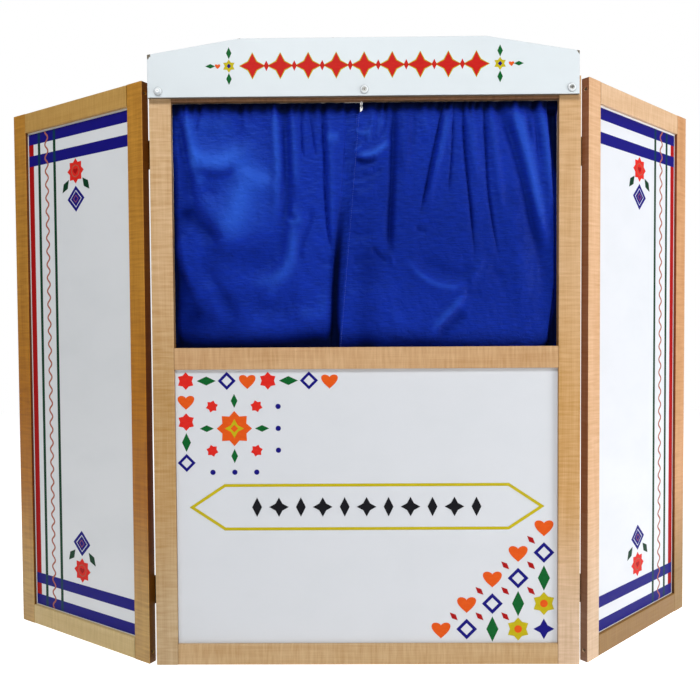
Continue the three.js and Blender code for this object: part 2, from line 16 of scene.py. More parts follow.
import bmesh
import bpy
import numpy as np
from mathutils import Matrix, Vector, noise

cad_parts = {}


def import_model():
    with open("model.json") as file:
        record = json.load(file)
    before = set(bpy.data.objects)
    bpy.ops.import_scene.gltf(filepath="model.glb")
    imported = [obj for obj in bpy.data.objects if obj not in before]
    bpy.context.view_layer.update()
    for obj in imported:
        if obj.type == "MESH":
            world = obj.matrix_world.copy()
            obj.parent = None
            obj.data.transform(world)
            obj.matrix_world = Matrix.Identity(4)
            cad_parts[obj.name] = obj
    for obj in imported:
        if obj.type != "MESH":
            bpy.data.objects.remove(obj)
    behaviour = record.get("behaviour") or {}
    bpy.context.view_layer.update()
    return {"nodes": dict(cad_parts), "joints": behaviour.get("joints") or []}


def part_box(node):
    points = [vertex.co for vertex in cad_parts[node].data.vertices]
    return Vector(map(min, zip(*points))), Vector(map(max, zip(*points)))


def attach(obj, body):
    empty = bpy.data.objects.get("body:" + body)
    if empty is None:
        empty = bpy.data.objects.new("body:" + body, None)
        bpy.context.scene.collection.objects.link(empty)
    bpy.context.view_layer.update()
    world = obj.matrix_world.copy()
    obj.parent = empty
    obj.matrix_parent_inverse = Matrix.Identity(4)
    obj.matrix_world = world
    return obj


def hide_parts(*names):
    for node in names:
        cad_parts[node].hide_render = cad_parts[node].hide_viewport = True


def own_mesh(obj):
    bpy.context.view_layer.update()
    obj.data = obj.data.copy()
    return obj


MM = 0.001
LOG = logging.getLogger("puppet_theatre")

Point = tuple[float, float]
Shift = tuple[float, float, float]
Tree = bpy.types.NodeTree
Socket = bpy.types.NodeSocket
Piece = bpy.types.Object
Nodes = dict[str, Piece]
Mesh = bmesh.types.BMesh
Array = np.ndarray


def linear(colour: str) -> tuple[float, float, float, float]:
    """Turn an sRGB hex colour to the linear values that a shader takes.

    Args:
        colour: The colour as "#RRGGBB".

    Returns:
        Red, green, blue, linear, and a full alpha.
    """
    channels = [int(colour[i : i + 2], 16) / 255 for i in (1, 3, 5)]
    turned = [c / 12.92 if c <= 0.04045 else ((c + 0.055) / 1.055) ** 2.4 for c in channels]
    return (*turned, 1.0)


def add_node(
    tree: Tree,
    kind: str,
    values: dict | None = None,
    links: dict | None = None,
    **settings: object,
) -> bpy.types.Node:
    """Add one shader node with its settings, values and links.

    Args:
        tree: The node tree that gets the node.
        kind: The node's type without its "ShaderNode" prefix.
        values: Values for inputs, by the input's name or number.
        links: Output sockets to join to inputs, by the input's name or number.
        **settings: The node's own properties.

    Returns:
        The new node.
    """
    node = tree.nodes.new("ShaderNode" + kind)
    for name, value in settings.items():
        setattr(node, name, value)
    for key, value in (values or {}).items():
        node.inputs[key].default_value = value
    for key, socket in (links or {}).items():
        tree.links.new(socket, node.inputs[key])
    return node


def new_tree(name: str) -> tuple[bpy.types.Material, Tree]:
    """Make an empty material.

    Args:
        name: The material's name.

    Returns:
        The material and its node tree.
    """
    material = bpy.data.materials.new(name)
    material.use_nodes = True
    material.node_tree.nodes.clear()
    return material, material.node_tree


def close_tree(tree: Tree, surface: Socket) -> None:
    """Join a shader's output to the material's output.

    Args:
        tree: The material's node tree.
        surface: The shader output.
    """
    add_node(tree, "OutputMaterial", links={"Surface": surface})


def pattern(
    tree: Tree,
    vector: Socket,
    sizes: tuple[float, float, float],
    detail: float = 3.0,
    distortion: float = 0.0,
) -> Socket:
    """Make a noise whose blotches have the given sizes.

    Args:
        tree: The material's node tree.
        vector: Coordinates in millimetres.
        sizes: Blotch size along each axis, in millimetres.
        detail: How many finer octaves it has.
        distortion: How much it is bent.

    Returns:
        The noise's value, about 0.5 in the mean.
    """
    scale = tuple(1 / size for size in sizes)
    stretched = add_node(tree, "Mapping", {"Scale": scale}, {"Vector": vector})
    blotches = add_node(
        tree,
        "TexNoise",
        {"Scale": 1.0, "Detail": detail, "Distortion": distortion},
        {"Vector": stretched.outputs["Vector"]},
    )
    return blotches.outputs["Fac"]


def ramp(
    tree: Tree,
    value: Socket,
    low: float,
    high: float,
    start: float = 0.0,
    end: float = 1.0,
) -> Socket:
    """Stretch a value from one range to another, held at its ends.

    Args:
        tree: The material's node tree.
        value: The value to stretch.
        low: The value that gives the start.
        high: The value that gives the end.
        start: What comes out at low.
        end: What comes out at high.

    Returns:
        The stretched value.
    """
    node = add_node(
        tree,
        "MapRange",
        {"From Min": low, "From Max": high, "To Min": start, "To Max": end},
        {"Value": value},
    )
    return node.outputs["Result"]


def blend(tree: Tree, share: Socket, first: object, second: object) -> Socket:
    """Mix two colours.

    Args:
        tree: The material's node tree.
        share: How much of the second colour comes out.
        first: A hex colour or a colour socket.
        second: A hex colour or a colour socket.

    Returns:
        The mixed colour.
    """
    # Inputs 6 and 7 and output 2 of the node are its colours
    values, links = {}, {"Factor": share}
    for index, colour in ((6, first), (7, second)):
        if isinstance(colour, str):
            values[index] = linear(colour)
        else:
            links[index] = colour
    node = add_node(tree, "Mix", values, links, data_type="RGBA")
    return node.outputs[2]


def calculate(tree: Tree, operation: str, *terms: object) -> Socket:
    """Work out one number.

    Args:
        tree: The material's node tree.
        operation: What the Math node does.
        *terms: Floats or sockets, in the order of the node's inputs.

    Returns:
        The number.
    """
    values = {index: term for index, term in enumerate(terms) if isinstance(term, float)}
    links = {index: term for index, term in enumerate(terms) if not isinstance(term, float)}
    return add_node(tree, "Math", values, links, operation=operation).outputs[0]


def in_millimetres(tree: Tree, turn: float = 0.0) -> tuple[bpy.types.Node, Socket]:
    """Measure a piece from the part's origin.

    Args:
        tree: The material's node tree.
        turn: A turn about +Z to take out, in radians.

    Returns:
        The coordinate node, and the coordinates in millimetres.
    """
    place = add_node(tree, "TexCoord")
    settings = {"Rotation": (0.0, 0.0, -turn), "Scale": (1000.0, 1000.0, 1000.0)}
    scaled = add_node(tree, "Mapping", settings, {"Vector": place.outputs["Object"]})
    return place, scaled.outputs["Vector"]


def away_from(tree: Tree, vector: Socket, middle: Point) -> Socket:
    """Measure the distance from a level axis that runs from front to back.

    Args:
        tree: The material's node tree.
        vector: Coordinates in millimetres.
        middle: The axis's x and z, in millimetres.

    Returns:
        The distance in millimetres.
    """
    place = add_node(tree, "SeparateXYZ", links={0: vector})
    flat = add_node(tree, "CombineXYZ", links={0: place.outputs["X"], 2: place.outputs["Z"]})
    spot = {1: (middle[0], 0.0, middle[1])}
    away = add_node(tree, "VectorMath", spot, {0: flat.outputs[0]}, operation="DISTANCE")
    return away.outputs["Value"]


def rings(tree: Tree, vector: Socket, middle: Point, steps: tuple[tuple[float, str], ...]) -> Socket:
    """Colour a piece in rings about a level axis that runs from front to back.

    Args:
        tree: The material's node tree.
        vector: Coordinates in millimetres.
        middle: The axis's x and z, in millimetres.
        steps: The radius at which each colour starts, in millimetres, and the colour.

    Returns:
        The colour.
    """
    away = away_from(tree, vector, middle)
    colour: object = steps[0][1]
    for radius, tone in steps[1:]:
        share = ramp(tree, away, radius - 0.2, radius + 0.2)
        colour = blend(tree, share, colour, tone)
    return colour


def bump(tree: Tree, height: Socket, depth_mm: float, under: Socket | None = None) -> Socket:
    """Turn a height to a bumped normal.

    Args:
        tree: The material's node tree.
        height: The height, from 0 to 1.
        depth_mm: The real height of 1, in millimetres.
        under: A bumped normal that this one lies on.

    Returns:
        The bumped normal.
    """
    links = {"Height": height}
    if under is not None:
        links["Normal"] = under
    node = add_node(tree, "Bump", {"Distance": depth_mm * MM, "Strength": 1.0}, links)
    return node.outputs["Normal"]


@dataclass(frozen=True)
class LeafPlace:
    """Where a leaf stands: it turns about its hinge pin, away from the plane of the centre leaf.

    Attributes:
        side: -1 on the audience's left, 1 on its right.
        pin: The pin's x and y in metres.
        angle: How far the leaf is swept back, in radians.
        edge: The x of the leaf's own zero before it is turned, in metres.
    """

    side: int
    pin: Point
    angle: float
    edge: float

    @property
    def turn(self) -> float:
        """The leaf's turn about +Z, in radians."""
        return self.side * self.angle

    def matrix(self) -> Matrix:
        """The map from the leaf's own (along, out, up) in metres to the part's frame."""
        turn = Matrix.Rotation(self.turn, 4, "Z")
        to_pin = Matrix.Translation((*self.pin, 0.0))
        flat = Matrix.Translation((self.edge - self.pin[0], -self.pin[1], 0.0))
        facing = Matrix(((self.side, 0, 0, 0), (0, -1, 0, 0), (0, 0, 1, 0), (0, 0, 0, 1)))
        return to_pin @ turn @ flat @ facing


class Finish:
    """What a piece wears: a named material with one principled shader, built once."""

    name: str
    built: ClassVar[dict[str, bpy.types.Material]] = {}

    def surface(self, tree: Tree) -> tuple[dict, dict]:
        """Build what goes into the shader.

        Args:
            tree: The material's empty node tree.

        Returns:
            The values and the links of the shader's inputs.
        """
        raise NotImplementedError

    def material(self) -> bpy.types.Material:
        """Build the finish.

        Returns:
            The material.
        """
        material, tree = new_tree(self.name)
        shader = add_node(tree, "BsdfPrincipled", *self.surface(tree))
        close_tree(tree, shader.outputs[0])
        return material

    def put_on(self, piece: Piece) -> None:
        """Give a piece this finish all over.

        Args:
            piece: The piece.
        """
        if self.name not in self.built:
            self.built[self.name] = self.material()
        piece.data.materials.clear()
        piece.data.materials.append(self.built[self.name])


class GrainRun(Enum):
    """Which way the fibres of a planed member run."""

    UPRIGHT = "upright"
    LEVEL = "level"


@dataclass(frozen=True)
class LacqueredBirch(Finish):
    """Planed birch under clear satin lacquer: pale, fine fibres, thin figure lines across, small flecks.

    Attributes:
        name: The material's name.
        pale: The colour of the pale wood.
        deep: The colour of the late wood.
        run: Which way the fibres run.
        turn: The leaf's turn about +Z, in radians, so that the grain follows it.
        inward: The x and y of the way that its edges with painted shade face.
        ends: Where along the leaf the member butts against the stiles, in millimetres.
        edge_shade: The hue, saturation and value shift of the painted shade on those edges.
        waist: The same shift from half height down, a painted shade.
        foot: The same shift near the floor: painted light on some members, painted shade on others.
        late: The same shift of flecks, end grain and joint lines.
        band, fibre, figure, fleck: Each pattern's size along and across the fibres.
        shares: How much bands, fibres and figure count for the tone.
        waist_heights, foot_heights: Where each shift starts and where it is full.
    """

    name: str
    pale: str
    deep: str
    run: GrainRun
    turn: float = 0.0
    inward: Point | None = None
    ends: Point | None = None
    edge_shade: Shift = (0.475, 1.25, 0.29)
    waist: Shift | None = None
    foot: Shift | None = None
    band: Point = (300.0, 19.0)
    fibre: Point = (85.0, 1.6)
    figure: Point = (5.5, 60.0)
    fleck: Point = (7.0, 1.3)
    late: Shift = (0.5, 1.1, 0.62)
    shares: Shift = (0.40, 0.28, 0.52)
    waist_heights: Point = (820.0, 560.0)
    foot_heights: Point = (340.0, 100.0)

    def sizes(self, along: float, across: float) -> tuple[float, float, float]:
        """A pattern's size on each axis, from its sizes along and across the fibres."""
        return (across, across, along) if self.run is GrainRun.UPRIGHT else (along, across, across)

    def shifted(self, tree: Tree, wood: Socket, shift: Shift) -> Socket:
        """The wood's colour with another hue, saturation and value."""
        settings = dict(zip(("Hue", "Saturation", "Value"), shift))
        return add_node(tree, "HueSaturation", settings, {"Color": wood}).outputs["Color"]

    def surface(self, tree: Tree) -> tuple[dict, dict]:
        """Build the wood, as Finish.surface says."""
        place, leaf = in_millimetres(tree, self.turn)
        bands = pattern(tree, leaf, self.sizes(*self.band), 4.0, 0.5)
        fibres = pattern(tree, leaf, self.sizes(*self.fibre), 5.0)
        figure = pattern(tree, leaf, self.sizes(*self.figure), 2.0, 0.5)
        flecks = pattern(tree, leaf, self.sizes(*self.fleck), 2.0)
        tone = calculate(tree, "MULTIPLY", bands, self.shares[0])
        tone = calculate(tree, "MULTIPLY_ADD", fibres, self.shares[1], tone)
        tone = calculate(tree, "MULTIPLY_ADD", figure, self.shares[2], tone)
        wood = blend(tree, ramp(tree, tone, 0.42, 0.78), self.pale, self.deep)
        dark = self.shifted(tree, wood, self.late)
        wood = blend(tree, ramp(tree, flecks, 0.69, 0.76, 0.0, 0.55), wood, dark)
        normal = place.outputs["Normal"]
        if self.run is GrainRun.UPRIGHT:
            facing = add_node(tree, "SeparateXYZ", links={0: normal})
            upward = calculate(tree, "ABSOLUTE", facing.outputs["Z"])
            wood = blend(tree, ramp(tree, upward, 0.9, 0.95, 0.0, 0.7), wood, dark)
        parts = add_node(tree, "SeparateXYZ", links={0: leaf})
        plain = wood
        # Painted shade from half height down, and near the floor painted light on some members and painted
        # shade on others.
        for shift, heights in ((self.waist, self.waist_heights), (self.foot, self.foot_heights)):
            if shift:
                share = ramp(tree, parts.outputs["Z"], *heights)
                wood = blend(tree, share, wood, self.shifted(tree, plain, shift))
        # Painted shade on the edges that face the gaps between the leaves and the opening.
        if self.inward:
            way = {1: (*self.inward, 0.0)}
            handled_and_shaded = add_node(tree, "VectorMath", way, {0: normal}, operation="DOT_PRODUCT")
            shaded_edge = self.shifted(tree, wood, self.edge_shade)
            wood = blend(tree, ramp(tree, handled_and_shaded.outputs["Value"], 0.8, 0.95), wood, shaded_edge)
        if self.ends:
            middle, half = sum(self.ends) / 2, (self.ends[1] - self.ends[0]) / 2
            off = calculate(tree, "SUBTRACT", parts.outputs["X"], middle)
            off = calculate(tree, "ABSOLUTE", off)
            wood = blend(tree, ramp(tree, off, half - 1.5, half - 0.7, 0.0, 0.75), wood, dark)
        return {"Specular IOR Level": 0.35, "Coat Weight": 0.12, "Coat Roughness": 0.35}, {
            "Base Color": wood,
            "Roughness": ramp(tree, fibres, 0.3, 0.7, 0.42, 0.56),
            "Normal": bump(tree, fibres, 0.06),
        }


@dataclass(frozen=True)
class MelamineLaminate(Finish):
    """White melamine paper pressed on board: hard, smooth, faintly cool, with a slight orange peel.

    Attributes:
        name: The material's name.
        white: The colour of the paper.
        chips: Places where the edge is chipped through to the board, as x, z and reach in millimetres.
        dark_underside: Whether its downward faces take the core colour, which makes it dark underneath.
        smudge: The paper's colour where it has greyed.
        core: The colour of the raw board.
    """

    name: str
    white: str
    chips: tuple[tuple[float, float, float], ...] = ()
    dark_underside: bool = False
    smudge: str = "#C9CFD3"
    core: str = "#6A6152"

    def surface(self, tree: Tree) -> tuple[dict, dict]:
        """Build the laminate, as Finish.surface says."""
        place, board = in_millimetres(tree)
        cloudy = pattern(tree, board, (140.0, 140.0, 90.0), 4.0)
        face = blend(tree, ramp(tree, cloudy, 0.45, 0.8, 0.0, 0.22), self.white, self.smudge)
        for x, z, size in self.chips:
            ragged = pattern(tree, board, (3.0, 3.0, 3.0))
            edge = calculate(tree, "MULTIPLY_ADD", ragged, size, away_from(tree, board, (x, z)))
            face = blend(tree, ramp(tree, edge, size * 1.2, size), face, self.core)
        # The downward faces take the core colour: darker underneath.
        if self.dark_underside:
            facing = add_node(tree, "SeparateXYZ", links={0: place.outputs["Normal"]})
            face = blend(tree, ramp(tree, facing.outputs["Z"], -0.8, -0.95), face, self.core)
        peel = pattern(tree, board, (1.8, 1.8, 1.8), 2.0)
        return {"Specular IOR Level": 0.4}, {
            "Base Color": face,
            "Roughness": ramp(tree, cloudy, 0.3, 0.7, 0.34, 0.44),
            "Normal": bump(tree, peel, 0.02),
        }


@dataclass(frozen=True)
class MouldedPlastic(Finish):
    """Moulded or extruded white plastic: smooth, softly glossy, a touch grey where it has been handled.

    Attributes:
        name: The material's name.
        white: Its clean colour.
        wear_and_shade: Its handled colour.
        middle: The x and z of its axis in millimetres, if it has rings of other tones.
        steps: The radius and the colour of each ring.
    """

    name: str
    white: str
    wear_and_shade: str
    middle: Point | None = None
    steps: tuple[tuple[float, str], ...] = ()

    def surface(self, tree: Tree) -> tuple[dict, dict]:
        """Build the plastic, as Finish.surface says."""
        _, spread = in_millimetres(tree)
        handled_and_shaded = pattern(tree, spread, (6.0, 6.0, 6.0))
        clean = rings(tree, spread, self.middle, self.steps) if self.middle else self.white
        return {"IOR": 1.49}, {
            "Base Color": blend(tree, ramp(tree, handled_and_shaded, 0.5, 0.75), clean, self.wear_and_shade),
            "Roughness": ramp(tree, handled_and_shaded, 0.3, 0.7, 0.28, 0.42),
            "Normal": bump(tree, handled_and_shaded, 0.02),
        }


@dataclass(frozen=True)
class WorkedSteel(Finish):
    """Pressed or drawn steel with a thin plated skin, dulled in patches.

    Attributes:
        name: The material's name.
        skin: The plating's colour.
        dull: Its colour where it has dulled.
        roughness: The plating's roughness.
        middle: The x and z of the head's axis in millimetres, if its drive is painted dark.
        drive: The radius of the drive, in millimetres.
        drive_shade: The colour of the painted shade in the drive.
    """

    name: str
    skin: str
    dull: str
    roughness: float
    middle: Point | None = None
    drive: float = 2.3
    drive_shade: str = "#242322"

    def surface(self, tree: Tree) -> tuple[dict, dict]:
        """Build the steel, as Finish.surface says."""
        _, spread = in_millimetres(tree)
        patches = pattern(tree, spread, (3.5, 3.5, 5.0), 4.0)
        drawn = pattern(tree, spread, (0.6, 0.6, 9.0), 2.0)
        clean: object = self.skin
        # A head's drive gets a dark colour: painted shade in its recess.
        if self.middle:
            clean = rings(tree, spread, self.middle, ((0.0, self.drive_shade), (self.drive, self.skin)))
        return {"Metallic": 1.0}, {
            "Base Color": blend(tree, ramp(tree, patches, 0.42, 0.7), clean, self.dull),
            "Roughness": ramp(tree, patches, 0.3, 0.7, self.roughness, self.roughness + 0.18),
            "Normal": bump(tree, drawn, 0.03),
        }


@dataclass(frozen=True)
class LiningCloth(Finish):
    """Thin woven lining: royal blue, with level slubs in the weft, a painted highlight on its ridges and
    painted shade in its folds.

    Attributes:
        name: The material's name.
        blue: The colour of the cloth.
        shade: The colour of the thinner threads.
        painted_highlight: The colour of the painted highlight on the ridges.
        deep: The colour of the painted shade in the folds.
        gloss: The tint of the light that its smooth filaments mirror.
        thread: The thread spacing in millimetres, drawn about four times as coarse as
            the real 0.3 so that the weave shows.
        slub, wrinkle: The sizes of the slubs and of the fine wrinkles, in millimetres.
    """

    name: str
    blue: str
    shade: str
    painted_highlight: str
    deep: str
    gloss: str
    thread: float = 1.2
    slub: Point = (34.0, 2.4)
    wrinkle: Point = (17.0, 9.0)

    def surface(self, tree: Tree) -> tuple[dict, dict]:
        """Build the cloth, as Finish.surface says, on its own UV maps.

        One map holds metres of cloth, the other its painted highlight and painted shade.
        """
        place = add_node(tree, "UVMap", uv_map="cloth").outputs["UV"]
        cloth = add_node(tree, "Mapping", {"Scale": (1000.0, 1000.0, 1.0)}, {"Vector": place})
        cloth = cloth.outputs["Vector"]
        marks = add_node(tree, "UVMap", uv_map="wear").outputs["UV"]
        wear_and_shade = add_node(tree, "SeparateXYZ", links={0: marks}).outputs["X"]
        slubs = pattern(tree, cloth, (*self.slub, 1.0), 4.0)
        broad = pattern(tree, cloth, (90.0, 60.0, 1.0))
        colour = blend(tree, ramp(tree, slubs, 0.32, 0.66, 0.0, 0.9), self.blue, self.shade)
        colour = blend(tree, ramp(tree, broad, 0.45, 0.75, 0.0, 0.35), colour, self.shade)
        # Painted highlight on the ridges and painted shade in the folds and along the edges, from the
        # second UV map.
        colour = blend(tree, ramp(tree, wear_and_shade, 0.5, 0.0), colour, self.painted_highlight)
        colour = blend(tree, ramp(tree, wear_and_shade, 0.5, 1.0), colour, self.deep)
        waves = {"Scale": 1 / (self.thread * math.pi), "Distortion": 0.6, "Detail": 1.0}
        threads = [
            add_node(tree, "TexWave", waves, {"Vector": cloth}, bands_direction=way).outputs["Fac"]
            for way in ("X", "Y")
        ]
        weave = calculate(tree, "MAXIMUM", *threads)
        normal = bump(tree, pattern(tree, cloth, (*self.wrinkle, 1.0), 5.0, 0.6), 2.6)
        normal = bump(tree, slubs, 0.18, normal)
        values = {"IOR": 1.8, "Sheen Weight": 0.05, "Sheen Roughness": 0.4}
        for tint in ("Specular Tint", "Sheen Tint"):
            values[tint] = linear(self.gloss)
        return values, {
            "Base Color": colour,
            # The painted shade also dims the specular reflection.
            "Specular IOR Level": ramp(tree, wear_and_shade, 0.45, 0.85, 0.42, 0.05),
            "Roughness": ramp(tree, slubs, 0.3, 0.7, 0.56, 0.70),
            "Normal": bump(tree, weave, 0.035, normal),
        }


@dataclass(frozen=True)
class SewingThread(Finish):
    """Spun polyester thread, a little lighter than the cloth it holds.

    Attributes:
        name: The material's name.
        colour: The thread's colour.
        shade: The colour between its plies.
    """

    name: str
    colour: str
    shade: str

    def surface(self, tree: Tree) -> tuple[dict, dict]:
        """Build the thread, as Finish.surface says."""
        _, spread = in_millimetres(tree)
        plies = pattern(tree, spread, (0.5, 0.5, 0.5), 2.0)
        return {"Roughness": 0.6, "Sheen Weight": 0.2}, {
            "Base Color": blend(tree, plies, self.colour, self.shade),
            "Normal": bump(tree, plies, 0.05),
        }


@dataclass(frozen=True)
class PrintedInk(Finish):
    """Screen-printed ink: an opaque satin film, a little uneven where the squeegee passed.

    Attributes:
        name: The material's name.
        colour: The ink's colour.
        thin: Its colour where the film is thin.
    """

    name: str
    colour: str
    thin: str

    def surface(self, tree: Tree) -> tuple[dict, dict]:
        """Build the ink, as Finish.surface says."""
        _, spread = in_millimetres(tree)
        passes = pattern(tree, spread, (14.0, 14.0, 5.0))
        return {"Specular IOR Level": 0.12}, {
            "Base Color": blend(tree, ramp(tree, passes, 0.4, 0.75, 0.0, 0.6), self.colour, self.thin),
            "Roughness": ramp(tree, passes, 0.3, 0.7, 0.46, 0.58),
            "Normal": bump(tree, passes, 0.015),
        }


class Ink(Enum):
    """The inks of the prints, with the colour of a full and of a thin film."""

    NAVY = ("#100B74", "#181382")
    RED = ("#A40A0C", "#AE1214")
    SCARLET = ("#D8241C", "#E03226")
    POPPY = ("#C01812", "#CA241A")
    GREEN = ("#04361E", "#083F26")
    LEAF = ("#045A24", "#0A672E")
    OVERPRINT = ("#053250", "#083C5A")
    SALMON = ("#A8604E", "#B06C58")
    ORANGE = ("#DE5412", "#E6621E")
    OCHRE = ("#BCAC10", "#C8B81E")
    BLACK = ("#0C0C12", "#14141C")

    def finish(self) -> PrintedInk:
        """The finish that this ink makes."""
        return PrintedInk("ink_" + self.name.lower(), *self.value)


def finished_piece(name: str, mesh: Mesh, body: str, finish: Finish, smooth: bool = False) -> Piece:
    """Turn a bmesh to an object at the origin that rides on a body.

    Args:
        name: The piece's name.
        mesh: Its mesh, in the part's frame; it is freed.
        body: The body it rides on.
        finish: What it wears.
        smooth: Whether its faces are shaded smooth.

    Returns:
        The new object.
    """
    data = bpy.data.meshes.new(name)
    for face in mesh.faces:
        face.smooth = smooth
    mesh.to_mesh(data)
    mesh.free()
    piece = bpy.data.objects.new(name, data)
    bpy.context.scene.collection.objects.link(piece)
    finish.put_on(piece)
    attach(piece, body)
    LOG.info("%s: %d faces on %s", name, len(data.polygons), body)
    return piece


@dataclass
class FramedLeaves:
    """The three framed leaves: each has its own boards of birch and a white panel.

    Attributes:
        places: Where each leaf stands, by its name in the pieces' names.
        tones: The start of the pieces' names, their leaf, and the pale and the deep colour of
            their wood. A later entry replaces an earlier one.
        waists: The painted shade of the stiles' wood from half height down, by the start of their names.
        feet: The shift of the stiles' wood near the floor: painted light on some, painted shade on others.
        opening_shade: The painted shade on the centre leaf's edges that face the opening.
        panel_whites: The white of each panel.
    """

    places: dict[str, LeafPlace]
    tones: tuple[tuple[str, str, str, str], ...] = (
        ("centre", "centre", "#DAB48B", "#BE9563"),
        ("centre_left", "centre", "#DBBA91", "#BD9463"),
        ("centre_middle", "centre", "#D1AB80", "#B58958"),
        ("centre_bottom", "centre", "#CBAB80", "#B08A57"),
        # The top rail's dark brown is painted shade under the header board.
        ("centre_top", "centre", "#8C6544", "#6F4B2E"),
        # The wings' colours are partly painted light and shade: the left wing's deep, saturated tones for
        # its side turned from the lamps, the right wing's pale ones for its side turned to them.
        ("left_wing", "left_wing", "#C88E31", "#A06A1A"),
        ("left_wing_top", "left_wing", "#C69C56", "#B28740"),
        ("left_wing_bottom", "left_wing", "#D4BB84", "#BEA36A"),
        ("right_wing", "right_wing", "#E6BC94", "#CD9C6E"),
        ("right_wing_top", "right_wing", "#E6C29E", "#D0A87E"),
        ("right_wing_outer", "right_wing", "#D6A275", "#BE8755"),
        ("right_wing_bottom", "right_wing", "#967034", "#865F26"),
    )
    waists: tuple[tuple[str, Shift], ...] = (
        ("centre", (0.5, 1.17, 0.91)),
        ("centre_left", (0.5, 1.2, 0.76)),
        ("left_wing", (0.488, 1.12, 0.82)),
    )
    feet: tuple[tuple[str, Shift], ...] = (
        ("centre", (0.5, 0.78, 1.08)),
        ("centre_left", (0.507, 0.96, 0.81)),
        ("left_wing", (0.515, 0.86, 1.0)),
        ("right_wing", (0.508, 0.8, 0.97)),
        ("right_wing_outer", (0.52, 1.14, 0.49)),
    )
    opening_shade: Shift = (0.492, 1.16, 0.54)
    panel_whites: tuple[tuple[str, str], ...] = (
        ("front_panel", "#D8DBE0"),
        ("left_wing_panel", "#E0E3E6"),
        ("right_wing_panel", "#E2E5EB"),
    )

    def ends(self, rail: Piece, turn: float) -> Point:
        """Where along its leaf a rail starts and ends, in millimetres."""
        along = [vert.co.x * math.cos(turn) + vert.co.y * math.sin(turn) for vert in rail.data.vertices]
        return min(along) / MM, max(along) / MM

    def dress(self, nodes: Nodes) -> None:
        """Give the members their wood and the panels their laminate.

        Args:
            nodes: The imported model's pieces by name.
        """
        waists, feet = dict(self.waists), dict(self.feet)
        for member, leaf, pale, deep in self.tones:
            turn = self.places[leaf].turn
            # inward points the painted shade at the wings' edges toward the centre leaf and at the centre
            # leaf's edges toward the opening.
            inward = (-math.copysign(math.cos(turn), turn), -abs(math.sin(turn)))
            edge_shade = LacqueredBirch.edge_shade
            if leaf == "centre":
                inward, edge_shade = (1.0 if member == "centre_left" else -1.0, 0.0), self.opening_shade
            for run, ending in ((GrainRun.UPRIGHT, "stile"), (GrainRun.LEVEL, "rail")):
                boards = [
                    name for name in sorted(nodes) if name.startswith(member) and name.endswith(ending)
                ]
                ends = self.ends(nodes[boards[0]], turn) if boards and run is GrainRun.LEVEL else None
                name = f"{member}_birch_{run.value}"
                waist, foot = (
                    (waists.get(member), feet.get(member)) if run is GrainRun.UPRIGHT else (None, None)
                )
                wood = LacqueredBirch(name, pale, deep, run, turn, inward, ends, edge_shade, waist, foot)
                for board in boards:
                    wood.put_on(nodes[board])
                    LOG.info("%s wears %s", board, wood.name)
        for name, white in self.panel_whites:
            MelamineLaminate(f"{name}_laminate", white).put_on(nodes[name])
            LOG.info("%s is laminated", name)


def spin(mesh: Mesh, profile: list, middle: Point, sides: int) -> None:
    """Turn a profile once about an upright axis.

    Args:
        mesh: The mesh that has the profile.
        profile: Its vertices and edges.
        middle: The axis's x and y.
        sides: How many sides it gets.
    """
    bmesh.ops.spin(
        mesh,
        geom=profile,
        cent=(*middle, 0.0),
        axis=(0.0, 0.0, 1.0),
        angle=math.tau,
        steps=sides,
        use_merge=True,
    )


def face_middle(name: str) -> Point:
    """The x and z of a piece's middle, in millimetres."""
    low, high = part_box(name)
    return (low.x + high.x) / 2 / MM, (low.z + high.z) / 2 / MM


